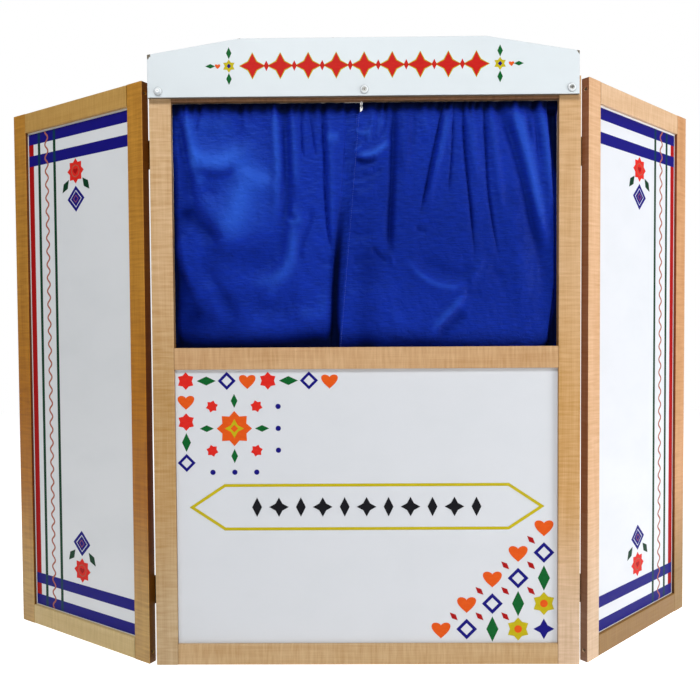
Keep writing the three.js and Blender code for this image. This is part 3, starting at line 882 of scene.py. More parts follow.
class InkSheet:
    """Flat shapes in one ink, drawn in a panel's own millimetres and pressed on as a thin film."""

    def __init__(self) -> None:
        """Start with an empty sheet."""
        self.mesh = bmesh.new()

    def disc(self, x: float, y: float, radius: float, sides: int = 40) -> list[bmesh.types.BMVert]:
        """Draw a filled circle.

        Args:
            x: Its middle along the panel.
            y: Its middle up the panel.
            radius: Its radius.
            sides: How many sides it has.

        Returns:
            Its vertices.
        """
        place = Matrix.Translation((x, y, 0.0))
        made = bmesh.ops.create_circle(
            self.mesh, cap_ends=True, segments=sides, radius=radius, matrix=place
        )
        return made["verts"]

    def ring(self, x: float, y: float, radius: float, width: float, sides: int = 48) -> None:
        """Draw a ring.

        Args:
            x: Its middle along the panel.
            y: Its middle up the panel.
            radius: Its outer radius.
            width: The width of its line.
            sides: How many sides it has.
        """
        ends = [self.mesh.verts.new((x + radius - part, y, 0.0)) for part in (0.0, width)]
        spin(self.mesh, [*ends, self.mesh.edges.new(ends)], (x, y), sides)

    def star(self, x: float, y: float, radius: float, points: int, waist: float, turn: float = 0.0) -> None:
        """Draw a star; a star of two points is a lozenge, and one with a wide waist a polygon.

        Args:
            x: Its middle along the panel.
            y: Its middle up the panel.
            radius: How far its points reach.
            points: How many points it has.
            waist: The radius between the points, as a share of the radius.
            turn: How far it is turned, in degrees.
        """
        middle = Vector((x, y, 0.0))
        corners = self.disc(x, y, radius, 2 * points)
        for index, corner in enumerate(corners):
            corner.co = middle + (corner.co - middle) * (waist if index % 2 else 1.0)
        turned = Matrix.Rotation(math.radians(turn), 3, "Z")
        bmesh.ops.rotate(self.mesh, verts=corners, cent=middle, matrix=turned)

    def heart(self, x: float, y: float, size: float, sides: int = 36) -> None:
        """Draw a heart that stands on its point.

        Args:
            x: Its middle along the panel.
            y: Its middle up the panel.
            size: Half its width.
            sides: How many sides it has.
        """
        for index, corner in enumerate(self.disc(x, y, size, sides)):
            angle = math.tau * index / sides
            swell = (13 * math.cos(angle) - 5 * math.cos(2 * angle) - 2 * math.cos(3 * angle)) / 16
            corner.co = (x + size * math.sin(angle) ** 3, y + size * swell, 0.0)

    def band(self, x0: float, y0: float, x1: float, y1: float) -> None:
        """Draw a straight band.

        Args:
            x0: Its lowest place along the panel.
            y0: Its foot.
            x1: Its highest place along the panel.
            y1: Its top.
        """
        middle = Matrix.Translation(((x0 + x1) / 2, (y0 + y1) / 2, 0.0))
        size = Matrix.Diagonal(((x1 - x0) / 2, (y1 - y0) / 2, 1.0, 1.0))
        bmesh.ops.create_grid(self.mesh, x_segments=1, y_segments=1, size=1.0, matrix=middle @ size)

    def frame(self, corners: tuple[Point, ...], width: float) -> None:
        """Draw a closed outline with corners.

        Args:
            corners: Its outer corners in turn.
            width: The width of its line.
        """
        face = self.mesh.faces.new([self.mesh.verts.new((x, y, 0.0)) for x, y in corners])
        face.normal_update()
        bmesh.ops.inset_region(
            self.mesh, faces=[face], thickness=width, use_boundary=True, use_even_offset=True
        )
        bmesh.ops.delete(self.mesh, geom=[face], context="FACES_ONLY")

    def wave(self, x: float, y0: float, y1: float, swing: float, pitch: float, width: float) -> None:
        """Draw a wavy upright line.

        Args:
            x: The middle of its swing.
            y0: Its foot.
            y1: Its top.
            swing: How far it swings to each side.
            pitch: The height of one wave.
            width: The width of the line.
        """
        steps = round((y1 - y0) / pitch * 14)
        made = bmesh.ops.create_grid(self.mesh, x_segments=1, y_segments=steps, size=1.0)
        for corner in made["verts"]:
            up = y0 + (corner.co.y + 1) / 2 * (y1 - y0)
            phase = math.tau * (up - y0) / pitch
            slope = swing * math.tau / pitch * math.cos(phase)
            half = width / 2 * math.sqrt(1 + slope * slope)
            corner.co = (x + swing * math.sin(phase) + half * corner.co.x, up, 0.0)

    def press(
        self, name: str, place: LeafPlace, face: float, film: float, body: str, ink: Ink
    ) -> Piece:
        """Give the shapes their thickness and lay them on a panel's front.

        Args:
            name: The piece's name.
            place: Where the panel's leaf stands.
            face: How far the panel's front stands before the leaf's middle, in millimetres.
            film: The thickness of the film in millimetres.
            body: The body that carries the panel.
            ink: The ink.

        Returns:
            The print.
        """
        bmesh.ops.recalc_face_normals(self.mesh, faces=self.mesh.faces)
        made = bmesh.ops.extrude_face_region(self.mesh, geom=self.mesh.faces[:])
        raised = [part for part in made["geom"] if isinstance(part, bmesh.types.BMVert)]
        bmesh.ops.translate(self.mesh, verts=raised, vec=(0.0, 0.0, film))
        upright = Matrix(((1, 0, 0, 0), (0, 0, 1, face), (0, 1, 0, 0), (0, 0, 0, 1)))
        matrix = place.matrix() @ Matrix.Scale(MM, 4) @ upright
        bmesh.ops.transform(self.mesh, matrix=matrix, verts=self.mesh.verts)
        bmesh.ops.recalc_face_normals(self.mesh, faces=self.mesh.faces)
        return finished_piece(name, self.mesh, body, ink.finish())


class PrintLayers:
    """The sheets of one print, one for each ink, in the order in which they are pressed."""

    film_step = 0.06

    def __init__(self, prefix: str, place: LeafPlace, face: float, body: str) -> None:
        """Start a print.

        Args:
            prefix: The start of its pieces' names.
            place: Where the panel's leaf stands.
            face: How far the printed face stands before the leaf's middle, in millimetres.
            body: The body that carries the panel.
        """
        self.prefix = prefix
        self.place = place
        self.face = face
        self.body = body
        self.sheets: list[tuple[Ink, str, InkSheet]] = []

    def sheet(self, ink: Ink, part: str) -> InkSheet:
        """Add the next sheet.

        Args:
            ink: Its ink.
            part: What it draws, for its name.

        Returns:
            The empty sheet.
        """
        added = InkSheet()
        self.sheets.append((ink, part, added))
        return added

    def press(self) -> None:
        """Press every sheet, each a little thicker than the one before, so that it covers it."""
        for index, (ink, part, sheet) in enumerate(self.sheets):
            film = self.film_step * (index + 2)
            sheet.press(f"{self.prefix}_{part}", self.place, self.face, film, self.body, ink)


@dataclass
class WingPrint:
    """The stripes and ornaments on a wing's panel. Places run from the wing's hinged edge outwards.

    Attributes:
        side_name: The wing's name in the pieces' names.
        place: Where the wing stands.
    """

    side_name: str
    place: LeafPlace
    panel_face: float = 2.0
    bands_from: float = 45.2
    bands_to: float = 393.5
    band_feet: tuple[float, ...] = (47.0, 98.8, 1095.2, 1146.0)
    band_width: float = 24.7
    green_lines: tuple[float, float] = (294.0, 350.5)
    green_width: float = 9.0
    wave_middle: float = 327.5
    wave_swing: float = 5.2
    wave_pitch: float = 31.0
    wave_width: float = 4.2
    red_from: float = 376.0
    red_width: float = 17.5
    ornament_middle: float = 224.0
    ornament_heights: tuple[float, float] = (1034.0, 188.0)
    ornament_size: float = 26.0

    def build(self) -> None:
        """Draw and press the wing's print."""
        foot = self.band_feet[0]
        top = self.band_feet[-1] + self.band_width
        layers = PrintLayers(f"{self.side_name}_print", self.place, self.panel_face, self.side_name)
        layers.sheet(Ink.RED, "red_stripe").band(self.red_from, foot, self.red_from + self.red_width, top)
        greens = layers.sheet(Ink.GREEN, "green_lines")
        navy = layers.sheet(Ink.NAVY, "navy_bands")
        over = layers.sheet(Ink.OVERPRINT, "line_crossings")
        for start in self.green_lines:
            greens.band(start, foot, start + self.green_width, top)
        for band_foot in self.band_feet:
            navy.band(self.bands_from, band_foot, self.bands_to, band_foot + self.band_width)
            for start in self.green_lines:
                over.band(start, band_foot, start + self.green_width, band_foot + self.band_width)
        wave = layers.sheet(Ink.SALMON, "wavy_line")
        wave.wave(self.wave_middle, foot, top, self.wave_swing, self.wave_pitch, self.wave_width)
        self.add_ornaments(layers)
        layers.press()

    def add_ornaments(self, layers: PrintLayers) -> None:
        """Draw the two upright groups of star, lozenges and hearts.

        Args:
            layers: The wing's print.
        """
        size = self.ornament_size
        middle = self.ornament_middle
        scarlet = layers.sheet(Ink.SCARLET, "scarlet_ornaments")
        navy = layers.sheet(Ink.NAVY, "navy_ornaments")
        green = layers.sheet(Ink.GREEN, "green_ornaments")
        inner = layers.sheet(Ink.SALMON, "inner_lines")
        hearts = layers.sheet(Ink.RED, "inner_hearts")
        for height, away in zip(self.ornament_heights, (-1, 1)):
            upper, lower = height + away * size * 1.2, height - away * size * 1.2
            scarlet.star(middle, lower, size * 1.08, 8, 0.74)
            inner.ring(middle, lower, size * 0.56, 2.0, 8)
            hearts.heart(middle, lower, size * 0.28)
            navy.ring(middle, upper, size * 1.12, size * 0.34, 4)
            navy.star(middle, upper, size * 0.66, 2, 1.0)
            inner.ring(middle, upper, size * 0.34, 1.6, 4)
            for lean in (-1, 1):
                green.star(middle + lean * size * 1.35, height, size * 0.68, 2, 0.5, lean * 40.0)


class Shape(Enum):
    """The motifs of the front print."""

    SUN = "eight-pointed star"
    STAR = "six-pointed star"
    CROSS = "four-pointed star"
    LOZENGE = "lozenge"
    SQUARE = "square outline"
    HEART = "heart"
    DOT = "dot"


@dataclass(frozen=True)
class Motif:
    """One motif, in the panel's own millimetres.

    Attributes:
        ink: Its ink.
        shape: What it is.
        spot: Its middle.
        size: How far it reaches from its middle.
        turn: How far it is turned, in degrees.
    """

    ink: Ink
    shape: Shape
    spot: Point
    size: float
    turn: float = 0.0

    def draw(self, sheet: InkSheet) -> None:
        """Draw the motif.

        Args:
            sheet: The sheet of its ink.
        """
        if self.shape is Shape.DOT:
            sheet.disc(*self.spot, self.size)
        elif self.shape is Shape.HEART:
            sheet.heart(*self.spot, self.size)
        elif self.shape is Shape.SQUARE:
            sheet.ring(*self.spot, self.size * 1.15, self.size * 0.48, 4)
        else:
            points, waist = {
                Shape.SUN: (8, 0.74),
                Shape.STAR: (6, 0.7),
                Shape.CROSS: (4, 0.5),
                Shape.LOZENGE: (2, 0.47),
            }[self.shape]
            sheet.star(*self.spot, self.size, points, waist, self.turn)


@dataclass
class FrontPrint:
    """The ornament on the centre leaf's panel: geometric folk motifs, most of them in two corners.

    Attributes:
        place: Where the centre leaf stands.
    """

    place: LeafPlace
    panel_face: float = 2.0
    middle: Point = (0.0, 332.0)
    frame_half: Point = (372.0, 49.0)
    frame_taper: float = 74.0
    frame_line: float = 6.0
    chain_step: float = 46.0
    chain_count: int = 5
    chain_size: float = 20.5
    border_corner: Point = (-377.0, 598.0)
    border_step: float = 43.0
    border_counts: tuple[int, int] = (8, 5)
    sun: Point = (-276.0, 498.0)
    stair_corner: Point = (371.0, 72.0)
    stair_step: float = 54.0

    def build(self) -> None:
        """Draw and press the front print."""
        layers = PrintLayers("front_print", self.place, self.panel_face, "centre_leaf")
        order = (Ink.LEAF, Ink.RED, Ink.SCARLET, Ink.NAVY, Ink.ORANGE, Ink.OCHRE, Ink.BLACK)
        inks = {ink: layers.sheet(ink, ink.name.lower() + "_ornaments") for ink in order}
        self.add_chain(inks)
        stairs = self.stairs()
        for motif in (*self.borders(), *self.sun_wheel(), *stairs):
            motif.draw(inks[motif.ink])
        middles = layers.sheet(Ink.ORANGE, "star_middles")
        for motif in stairs:
            if motif.ink is Ink.OCHRE:
                middles.disc(*motif.spot, 8.0)
        middles.star(*self.sun, 8.0, 2, 1.0)
        layers.press()

    def add_chain(self, inks: dict[Ink, InkSheet]) -> None:
        """Draw the long pointed frame with its level chain of stars and lozenges.

        Args:
            inks: The sheets by ink.
        """
        x, y = self.middle
        wide, high = self.frame_half
        level = wide - self.frame_taper
        outline = ((-wide, 0), (-level, -high), (level, -high), (wide, 0), (level, high), (-level, high))
        inks[Ink.OCHRE].frame(tuple((x + right, y + up) for right, up in outline), self.frame_line)
        for index in range(-self.chain_count, self.chain_count + 1):
            spot = x + self.chain_step * index
            inks[Ink.BLACK].star(spot, y, self.chain_size, 2 if index % 2 else 4, 0.5)

    def borders(self) -> list[Motif]:
        """Lay out the two border rows that meet in the upper left corner.

        Returns:
            Their motifs.
        """
        kinds = (
            (Ink.SCARLET, Shape.STAR, 18.5),
            (Ink.LEAF, Shape.LOZENGE, 20.0),
            (Ink.NAVY, Shape.SQUARE, 16.5),
            (Ink.ORANGE, Shape.HEART, 17.5),
        )
        x, y = self.border_corner
        across, down = self.border_counts
        spots = [(x + self.border_step * index, y, index) for index in range(across)]
        spots += [(x, y - self.border_step * index, index + 2) for index in range(1, down)]
        motifs = []
        for spot_x, spot_y, index in spots:
            ink, shape, size = kinds[index % len(kinds)]
            turn = 90.0 if shape is Shape.LOZENGE and spot_y == y else 0.0
            motifs.append(Motif(ink, shape, (spot_x, spot_y), size, turn))
        return motifs

    def sun_wheel(self) -> list[Motif]:
        """Lay out the large sun in its wheel of lozenges, stars and dots.

        Returns:
            Its motifs.
        """
        motifs = [
            Motif(Ink.ORANGE, Shape.SUN, self.sun, 37.0),
            Motif(Ink.OCHRE, Shape.CROSS, self.sun, 20.0),
        ]
        x, y = self.sun
        for step in range(8):
            away = math.radians(45 * step)
            for ink, shape, reach, size, every in (
                (Ink.LEAF, Shape.LOZENGE, 58.0, 15.0, 0),
                (Ink.SCARLET, Shape.STAR, 66.0, 13.0, 1),
            ):
                if step % 2 == every:
                    spot = (x + reach * math.cos(away), y + reach * math.sin(away))
                    motifs.append(Motif(ink, shape, spot, size, 45.0 * step - 90.0))
        motifs += [Motif(Ink.NAVY, Shape.DOT, (x + 92.0, y + up), 5.5) for up in (-46.0, 0.0, 46.0)]
        motifs += [Motif(Ink.NAVY, Shape.DOT, (x + side, y - 92.0), 5.5) for side in (-46.0, 0.0, 46.0)]
        return motifs

    def stairs(self) -> list[Motif]:
        """Lay out the stairs of motifs in the lower right corner, one kind on each diagonal.

        Returns:
            Their motifs.
        """
        diagonals = (
            (Ink.NAVY, Shape.CROSS, 22.0),
            (Ink.OCHRE, Shape.STAR, 24.5),
            (Ink.LEAF, Shape.LOZENGE, 27.0),
            (Ink.NAVY, Shape.SQUARE, 19.0),
            (Ink.ORANGE, Shape.HEART, 20.0),
        )
        x, y = self.stair_corner
        step = self.stair_step
        motifs = []
        for diagonal, (ink, shape, size) in enumerate(diagonals):
            for row in range(diagonal + 1):
                spot = (x - step * (diagonal - row), y + step * row)
                motifs.append(Motif(ink, shape, spot, size))
                if row and diagonal > 1:
                    between = (spot[0] - step / 2, spot[1] - step / 2)
                    motifs.append(Motif(Ink.RED, Shape.LOZENGE, between, 12.0, 45.0))
        return motifs


@dataclass
class HeaderBoard:
    """The white header with its chipped corners, its row of ornaments and its plastic washers.

    Attributes:
        place: Where the centre leaf stands.
    """

    place: LeafPlace
    white: str = "#DAE2E6"
    row_height: float = 1242.0
    row_step: float = 57.0
    row_count: int = 4
    star: float = 25.5
    end_reach: float = 276.0
    # The grey band beyond 7.6 mm on each washer is painted shade at its rim.
    washer_rings: tuple[tuple[float, str], ...] = ((0.0, "#E9EEF0"), (7.6, "#B4BABD"))
    cap_rings: tuple[tuple[float, str], ...] = ((0.0, "#D3D8D9"), (1.6, "#FFFFFF"), (3.6, "#DAE2E6"))

    def dress(self, nodes: Nodes) -> None:
        """Give the board and its fasteners their finishes.

        Args:
            nodes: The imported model's pieces by name.
        """
        low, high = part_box("header_board")
        left, right, top = low.x / MM, high.x / MM, high.z / MM
        corners = nodes["header_board"].data.vertices
        end_top = max(v.co.z for v in corners if v.co.x < low.x + 2 * MM) / MM
        level = [v.co.x / MM for v in corners if v.co.z > high.z - 2 * MM]
        chips = (
            (left, end_top - 2.0, 11.5),
            (right, end_top, 10.5),
            (min(level), top + 3.0, 7.0),
            (max(level) + 34.0, top - 3.0, 3.5),
            (left + 0.28 * (right - left) + 134.0, top + 2.5, 5.0),
        )
        board = MelamineLaminate("header_laminate", self.white, chips, dark_underside=True)
        board.put_on(nodes["header_board"])
        for name, steps in (
            ("left_washer", self.washer_rings),
            ("middle_washer", self.washer_rings),
            ("right_washer", self.washer_rings),
            ("left_snap_cap", self.cap_rings),
        ):
            middle = face_middle("header_" + name)
            plastic = MouldedPlastic(f"{name}_plastic", "#E1E8EB", "#DADFE1", middle, steps)
            plastic.put_on(nodes["header_" + name])
        LOG.info("header board dressed")

    def build(self) -> None:
        """Press the row of stars and lozenges and the two end groups on the board."""
        low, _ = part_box("header_board")
        layers = PrintLayers("header_print", self.place, -low.y / MM, "centre_leaf")
        rims = layers.sheet(Ink.OCHRE, "rims")
        scarlet = layers.sheet(Ink.POPPY, "scarlet_ornaments")
        green = layers.sheet(Ink.LEAF, "green_ornaments")
        orange = layers.sheet(Ink.ORANGE, "orange_ornaments")
        navy = layers.sheet(Ink.NAVY, "navy_ornaments")
        size, middle = self.star, self.row_height
        for index in range(-self.row_count, self.row_count + 1):
            x = index * self.row_step
            rims.star(x, middle, size * 1.08, 4, 0.5, 90.0)
            scarlet.star(x, middle, size, 4, 0.46, 90.0)
            rims.star(x, middle, size * 0.3, 2, 0.8)
            if index < self.row_count:
                scarlet.star(x + self.row_step / 2, middle, size * 0.42, 2, 0.5)
        for side in (-1, 1):
            x = side * self.end_reach
            rims.star(x, middle, 13.5, 6, 0.62)
            navy.star(x, middle, 5.0, 2, 0.9)
            for lean in (-1, 1):
                green.star(x, middle + lean * 26.0, 12.0, 2, 0.46)
            orange.heart(x + side * 23.0, middle, 5.5)
            green.star(x + side * 38.0, middle, 10.0, 2, 0.46, 90.0)
        layers.press()


@dataclass
class HingeScrews:
    """Small countersunk screws with a cross drive, three in each hinge plate.

    Attributes:
        places: Where each leaf stands, by name.
    """

    places: dict[str, LeafPlace]
    head_radius: float = 2.45
    head_depth: float = 1.0
    shank_radius: float = 1.3
    length: float = 12.0
    drive_depth: float = 0.7
    drive_radii: tuple[float, float] = (1.25, 0.42)
    face_from_pin: float = 1.2
    sink: float = 0.12
    from_pin: float = 11.5
    stagger: float = 3.2
    spacing: float = 22.0

    def screw(self, mesh: Mesh, matrix: Matrix, sides: int = 16) -> None:
        """Add one screw, turned about +Z with its head at zero.

        Args:
            mesh: The mesh that gets it.
            matrix: Where it goes.
            sides: How many sides it has.
        """
        profile = (
            (0.0, -self.drive_depth),
            (self.drive_radii[0], 0.0),
            (self.head_radius, 0.0),
            (self.shank_radius, -self.head_depth),
            (self.shank_radius, -self.length * 0.7),
            (0.0, -self.length),
        )
        corners = [mesh.verts.new((radius, 0.0, up)) for radius, up in profile]
        edges = [mesh.edges.new(pair) for pair in zip(corners, corners[1:])]
        spin(mesh, [*corners, *edges], (0.0, 0.0), sides)
        fresh = [v for v in mesh.verts if not v.tag]
        bmesh.ops.remove_doubles(mesh, verts=fresh, dist=0.001)
        fresh = [v for v in mesh.verts if not v.tag]
        rim, waist = self.drive_radii
        for corner in fresh:
            flat = Vector((corner.co.x, corner.co.y))
            if abs(corner.co.z) < 0.001 and abs(flat.length - rim) < 0.01:
                step = round(math.atan2(flat.y, flat.x) / math.tau * sides)
                reach = rim if step % (sides // 4) == 0 else waist
                corner.co = (flat.x / rim * reach, flat.y / rim * reach, 0.0)
        bmesh.ops.transform(mesh, matrix=matrix, verts=fresh)
        for corner in fresh:
            corner.tag = True

    def build(self) -> None:
        """Drive the screws of all plates."""
        steel = WorkedSteel("hinge_screw_steel", "#8C8069", "#5E5446", 0.32)
        for wing in ("left_wing", "right_wing"):
            place = self.places[wing]
            for level in ("upper", "lower"):
                low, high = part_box(f"{wing}_{level}_hinge_pin")
                middle = (low + high) / 2
                for plate, turn, into, body in (
                    ("centre", 0.0, -place.side, "centre_leaf"),
                    ("wing", place.turn, place.side, wing),
                ):
                    mesh = bmesh.new()
                    stand = Matrix.Translation(middle) @ Matrix.Rotation(turn, 4, "Z") @ Matrix.Scale(MM, 4)
                    for step in (-1, 0, 1):
                        out = self.from_pin + (0.0 if step else self.stagger)
                        back = -(self.face_from_pin + self.sink)
                        spot = Matrix.Translation((into * out, back, step * self.spacing))
                        facing = Matrix.Rotation(-math.pi / 2, 4, "X")
                        twist = Matrix.Rotation(0.4 + 0.5 * step, 4, "Z")
                        self.screw(mesh, stand @ spot @ facing @ twist)
                    bmesh.ops.recalc_face_normals(mesh, faces=mesh.faces)
                    finished_piece(f"{wing}_{level}_hinge_{plate}_screws", mesh, body, steel)


@dataclass(frozen=True)
class Fold:
    """One fold of the cloth along a line, in millimetres.

    Attributes:
        line: Its points, x and z, from its start to its end.
        width: Its half width.
        depth: How far it lies back; below zero it stands forward.
        lean: How much deeper one side is and the other raised, as a share of its depth.
        sharp: Whether it is a crease.
        from_wire: Whether it starts at the wire at full depth.
    """

    line: tuple[Point, ...]
    width: float
    depth: float
    lean: float = 0.0
    sharp: bool = False
    from_wire: bool = False

    def push(self, x: Array, z: Array) -> Array:
        """How far the fold pushes the cloth back at each place.

        Args:
            x: Places along the curtain, in millimetres.
            z: Heights, in millimetres.

        Returns:
            The push in millimetres.
        """
        way = smooth_line(self.line, 8)
        along = np.linspace(0.0, 1.0, len(way))
        nearest = np.full(x.shape, np.inf)
        signed = np.zeros(x.shape)
        share = np.zeros(x.shape)
        for start, end, first, last in zip(way, way[1:], along, along[1:]):
            step = end - start
            reach = ((x - start[0]) * step[0] + (z - start[1]) * step[1]) / (step @ step)
            reach = np.clip(reach, 0.0, 1.0)
            off_x = x - start[0] - reach * step[0]
            off_z = z - start[1] - reach * step[1]
            far = np.hypot(off_x, off_z)
            closer = far < nearest
            side = np.sign(off_x * step[1] - off_z * step[0])
            nearest = np.where(closer, far, nearest)
            signed = np.where(closer, far * side, signed)
            share = np.where(closer, first + reach * (last - first), share)
        start_fade = 1.0 if self.from_wire else smooth_step(share / 0.25)
        weight = start_fade * smooth_step((1.0 - share) / 0.3)
        near = nearest / self.width
        shape = np.exp(-near) if self.sharp else np.exp(-near * near)
        tilt = 1.0 + self.lean * signed / self.width
        return self.depth * weight * shape * tilt


def smooth_step(value: Array | float) -> Array:
    """Ease a value from 0 to 1.

    Args:
        value: The value, which is held between 0 and 1.

    Returns:
        The eased value.
    """
    held = np.clip(value, 0.0, 1.0)
    return held * held * (3 - 2 * held)


def smooth_line(points: tuple[Point, ...], steps: int) -> Array:
    """Lay a smooth line through points.

    Args:
        points: The points.
        steps: How many steps lie between two of them.

    Returns:
        The line's points.
    """
    knots = np.array([points[0], *points, points[-1]], float)
    line = []
    for before, start, end, after in zip(knots, knots[1:], knots[2:], knots[3:]):
        for share in np.arange(steps) / steps:
            square = share * share
            cube = square * share
            line.append(
                0.5
                * (
                    2 * start
                    + (end - before) * share
                    + (2 * before - 5 * start + 4 * end - after) * square
                    + (3 * start - before - 3 * end + after) * cube
                )
            )
    line.append(knots[-1])
    return np.array(line)


def hung(line: tuple[Point, ...], width: float, depth: float, lean: float = 0.0) -> Fold:
    """A fold that starts at the wire at full depth."""
    return Fold(line, width, depth, lean, from_wire=True)


def crease(line: tuple[Point, ...], width: float, depth: float, lean: float = 0.0) -> Fold:
    """A crease that starts at the wire at full depth."""
    return Fold(line, width, depth, lean, sharp=True, from_wire=True)


LEFT_FOLDS = (
    Fold(((-168, 936), (-150, 926), (-130, 934)), 5, -2.4),
    hung(((-388, 1168), (-379, 1100), (-368, 1035), (-364, 990), (-352, 930)), 11, 7.5, 0.2),
    hung(((-374, 1168), (-362, 1100), (-346, 1050)), 13, -5.2),
    hung(((-345, 1172), (-347, 1140), (-351, 1105)), 4, 3.0),
    Fold(((-362, 1070), (-332, 1048), (-292, 1046), (-256, 1068), (-236, 1104)), 22, -5.2),
    Fold(((-345, 1120), (-290, 1100), (-240, 1125)), 26, 3.4),
    hung(((-262, 1172), (-264, 1140), (-270, 1115)), 5, 2.4),
    Fold(((-262, 1034), (-228, 1014), (-196, 1004), (-180, 1020)), 20, -4.4),
    Fold(((-340, 990), (-300, 996), (-262, 1010)), 15, 2.6),
    Fold(((-232, 1040), (-260, 980), (-282, 905), (-296, 860)), 30, -6.0),
    hung(((-186, 1172), (-181, 1090), (-180, 1010), (-190, 930)), 11, -6.0),
    hung(((-168, 1172), (-165, 1080), (-165, 980), (-168, 900)), 12, 6.5, -0.2),
    hung(((-149, 1168), (-147, 1080), (-142, 990)), 9, -3.8),
    Fold(((-150, 945), (-150, 880), (-160, 840), (-186, 808), (-250, 790)), 15, -6.8, 0.2),
    Fold(((-174, 920), (-186, 865), (-218, 838), (-270, 828)), 20, 4.6),
    Fold(((-240, 765), (-185, 752), (-135, 780)), 20, 3.6),
    crease(((-131, 1172), (-131, 1110), (-128, 1052)), 3.0, 5.0),
    crease(((-118, 1172), (-108, 1110), (-101, 1056)), 3.0, 4.6),
    crease(((-90, 1172), (-84, 1080), (-82, 980), (-76, 900), (-70, 862)), 3.6, 6.5, -0.2),
    Fold(((-156, 962), (-138, 936), (-116, 920)), 9, -3.4),
    Fold(((-108, 960), (-122, 915), (-136, 872), (-135, 830)), 8, 4.6, 0.3),
    Fold(((-106, 860), (-86, 842), (-68, 850)), 6, 3.0),
    Fold(((-72, 1150), (-70, 1000), (-68, 860)), 8, -3.2),
    Fold(((-80, 1098), (-66, 1094), (-52, 1100)), 9, -4.0),
    Fold(((-376, 962), (-346, 930), (-300, 886)), 17, 6.4, 0.3),
    Fold(((-340, 985), (-312, 940), (-290, 895)), 18, -3.6),
    Fold(((-384, 905), (-376, 850), (-362, 790)), 10, -4.4),
    Fold(((-388, 830), (-370, 780), (-350, 725)), 11, 4.2),
    Fold(((-352, 855), (-318, 805), (-290, 755), (-262, 705)), 15, 5.2),
    Fold(((-336, 805), (-312, 755), (-296, 700)), 15, -3.6),
    Fold(((-262, 765), (-230, 722), (-210, 695)), 22, -3.6),
    Fold(((-158, 748), (-112, 730), (-86, 746), (-78, 800)), 16, -4.2),
)

# Painted light on the left half: strokes above zero are painted shade, as along the stile, under the
# casing, at the foot and in the gap behind the right half; strokes below zero are painted highlights on its
# ridges and swags.
LEFT_PAINTED_LIGHT = (
    Fold(((-372, 752), (-330, 728), (-290, 716), (-240, 706)), 22, 0.3),
    Fold(((-210, 790), (-180, 766), (-150, 760)), 20, -0.2),
    Fold(((-362, 1062), (-348, 1034), (-330, 1012)), 13, -0.32),
    Fold(((-168, 936), (-150, 926), (-130, 934)), 5, -0.2),
    hung(((-402, 1190), (-402, 1050), (-402, 900), (-402, 750), (-402, 480)), 8, 0.85),
    Fold(((-406, 1080), (-408, 900), (-406, 750), (-406, 500), (-406, 300)), 24, 0.5),
    hung(((-388, 1180), (-380, 1080), (-376, 960), (-384, 860)), 15, 0.22),
    hung(((-500, 1169), (-300, 1168), (-100, 1169), (160, 1168)), 17, 1.2),
    hung(((-376, 1165), (-362, 1100), (-346, 1050)), 12, -0.25),
    Fold(((-372, 1088), (-350, 1062), (-310, 1055), (-278, 1066), (-256, 1090)), 17, -0.44),
    hung(((-330, 1170), (-300, 1090), (-250, 980), (-290, 860)), 60, -0.22),
    Fold(((-275, 1046), (-228, 1028), (-190, 1010)), 22, -0.3),
    Fold(((-262, 1014), (-262, 965), (-288, 900)), 22, -0.3),
    Fold(((-362, 1040), (-330, 1030), (-290, 1028), (-256, 1046)), 11, 0.4),
    Fold(((-384, 965), (-346, 926), (-290, 885)), 20, 0.3),
    Fold(((-350, 866), (-260, 866), (-188, 882)), 28, 0.26),
    Fold(((-152, 920), (-152, 868), (-176, 818), (-255, 796)), 12, -0.16),
    Fold(((-340, 780), (-230, 758), (-125, 768)), 26, 0.26),
    hung(((-186, 1165), (-183, 1090), (-179, 1000)), 9, -0.24),
    hung(((-169, 1172), (-166, 1060), (-166, 940), (-172, 860)), 9, 0.14),
    hung(((-150, 1165), (-148, 1080), (-142, 1000)), 9, -0.1),
    Fold(((-82, 1102), (-66, 1104), (-50, 1106)), 8, -0.3),
    Fold(((-404, 870), (-378, 770), (-350, 670)), 34, 0.5),
    hung(((-500, 654), (-300, 653), (-190, 654), (-130, 662), (-70, 668), (120, 662)), 34, 1.3),
    Fold(((-41, 1010), (-60, 830), (-65, 700), (-66, 500), (-66, 200)), 10, 1.1),
)

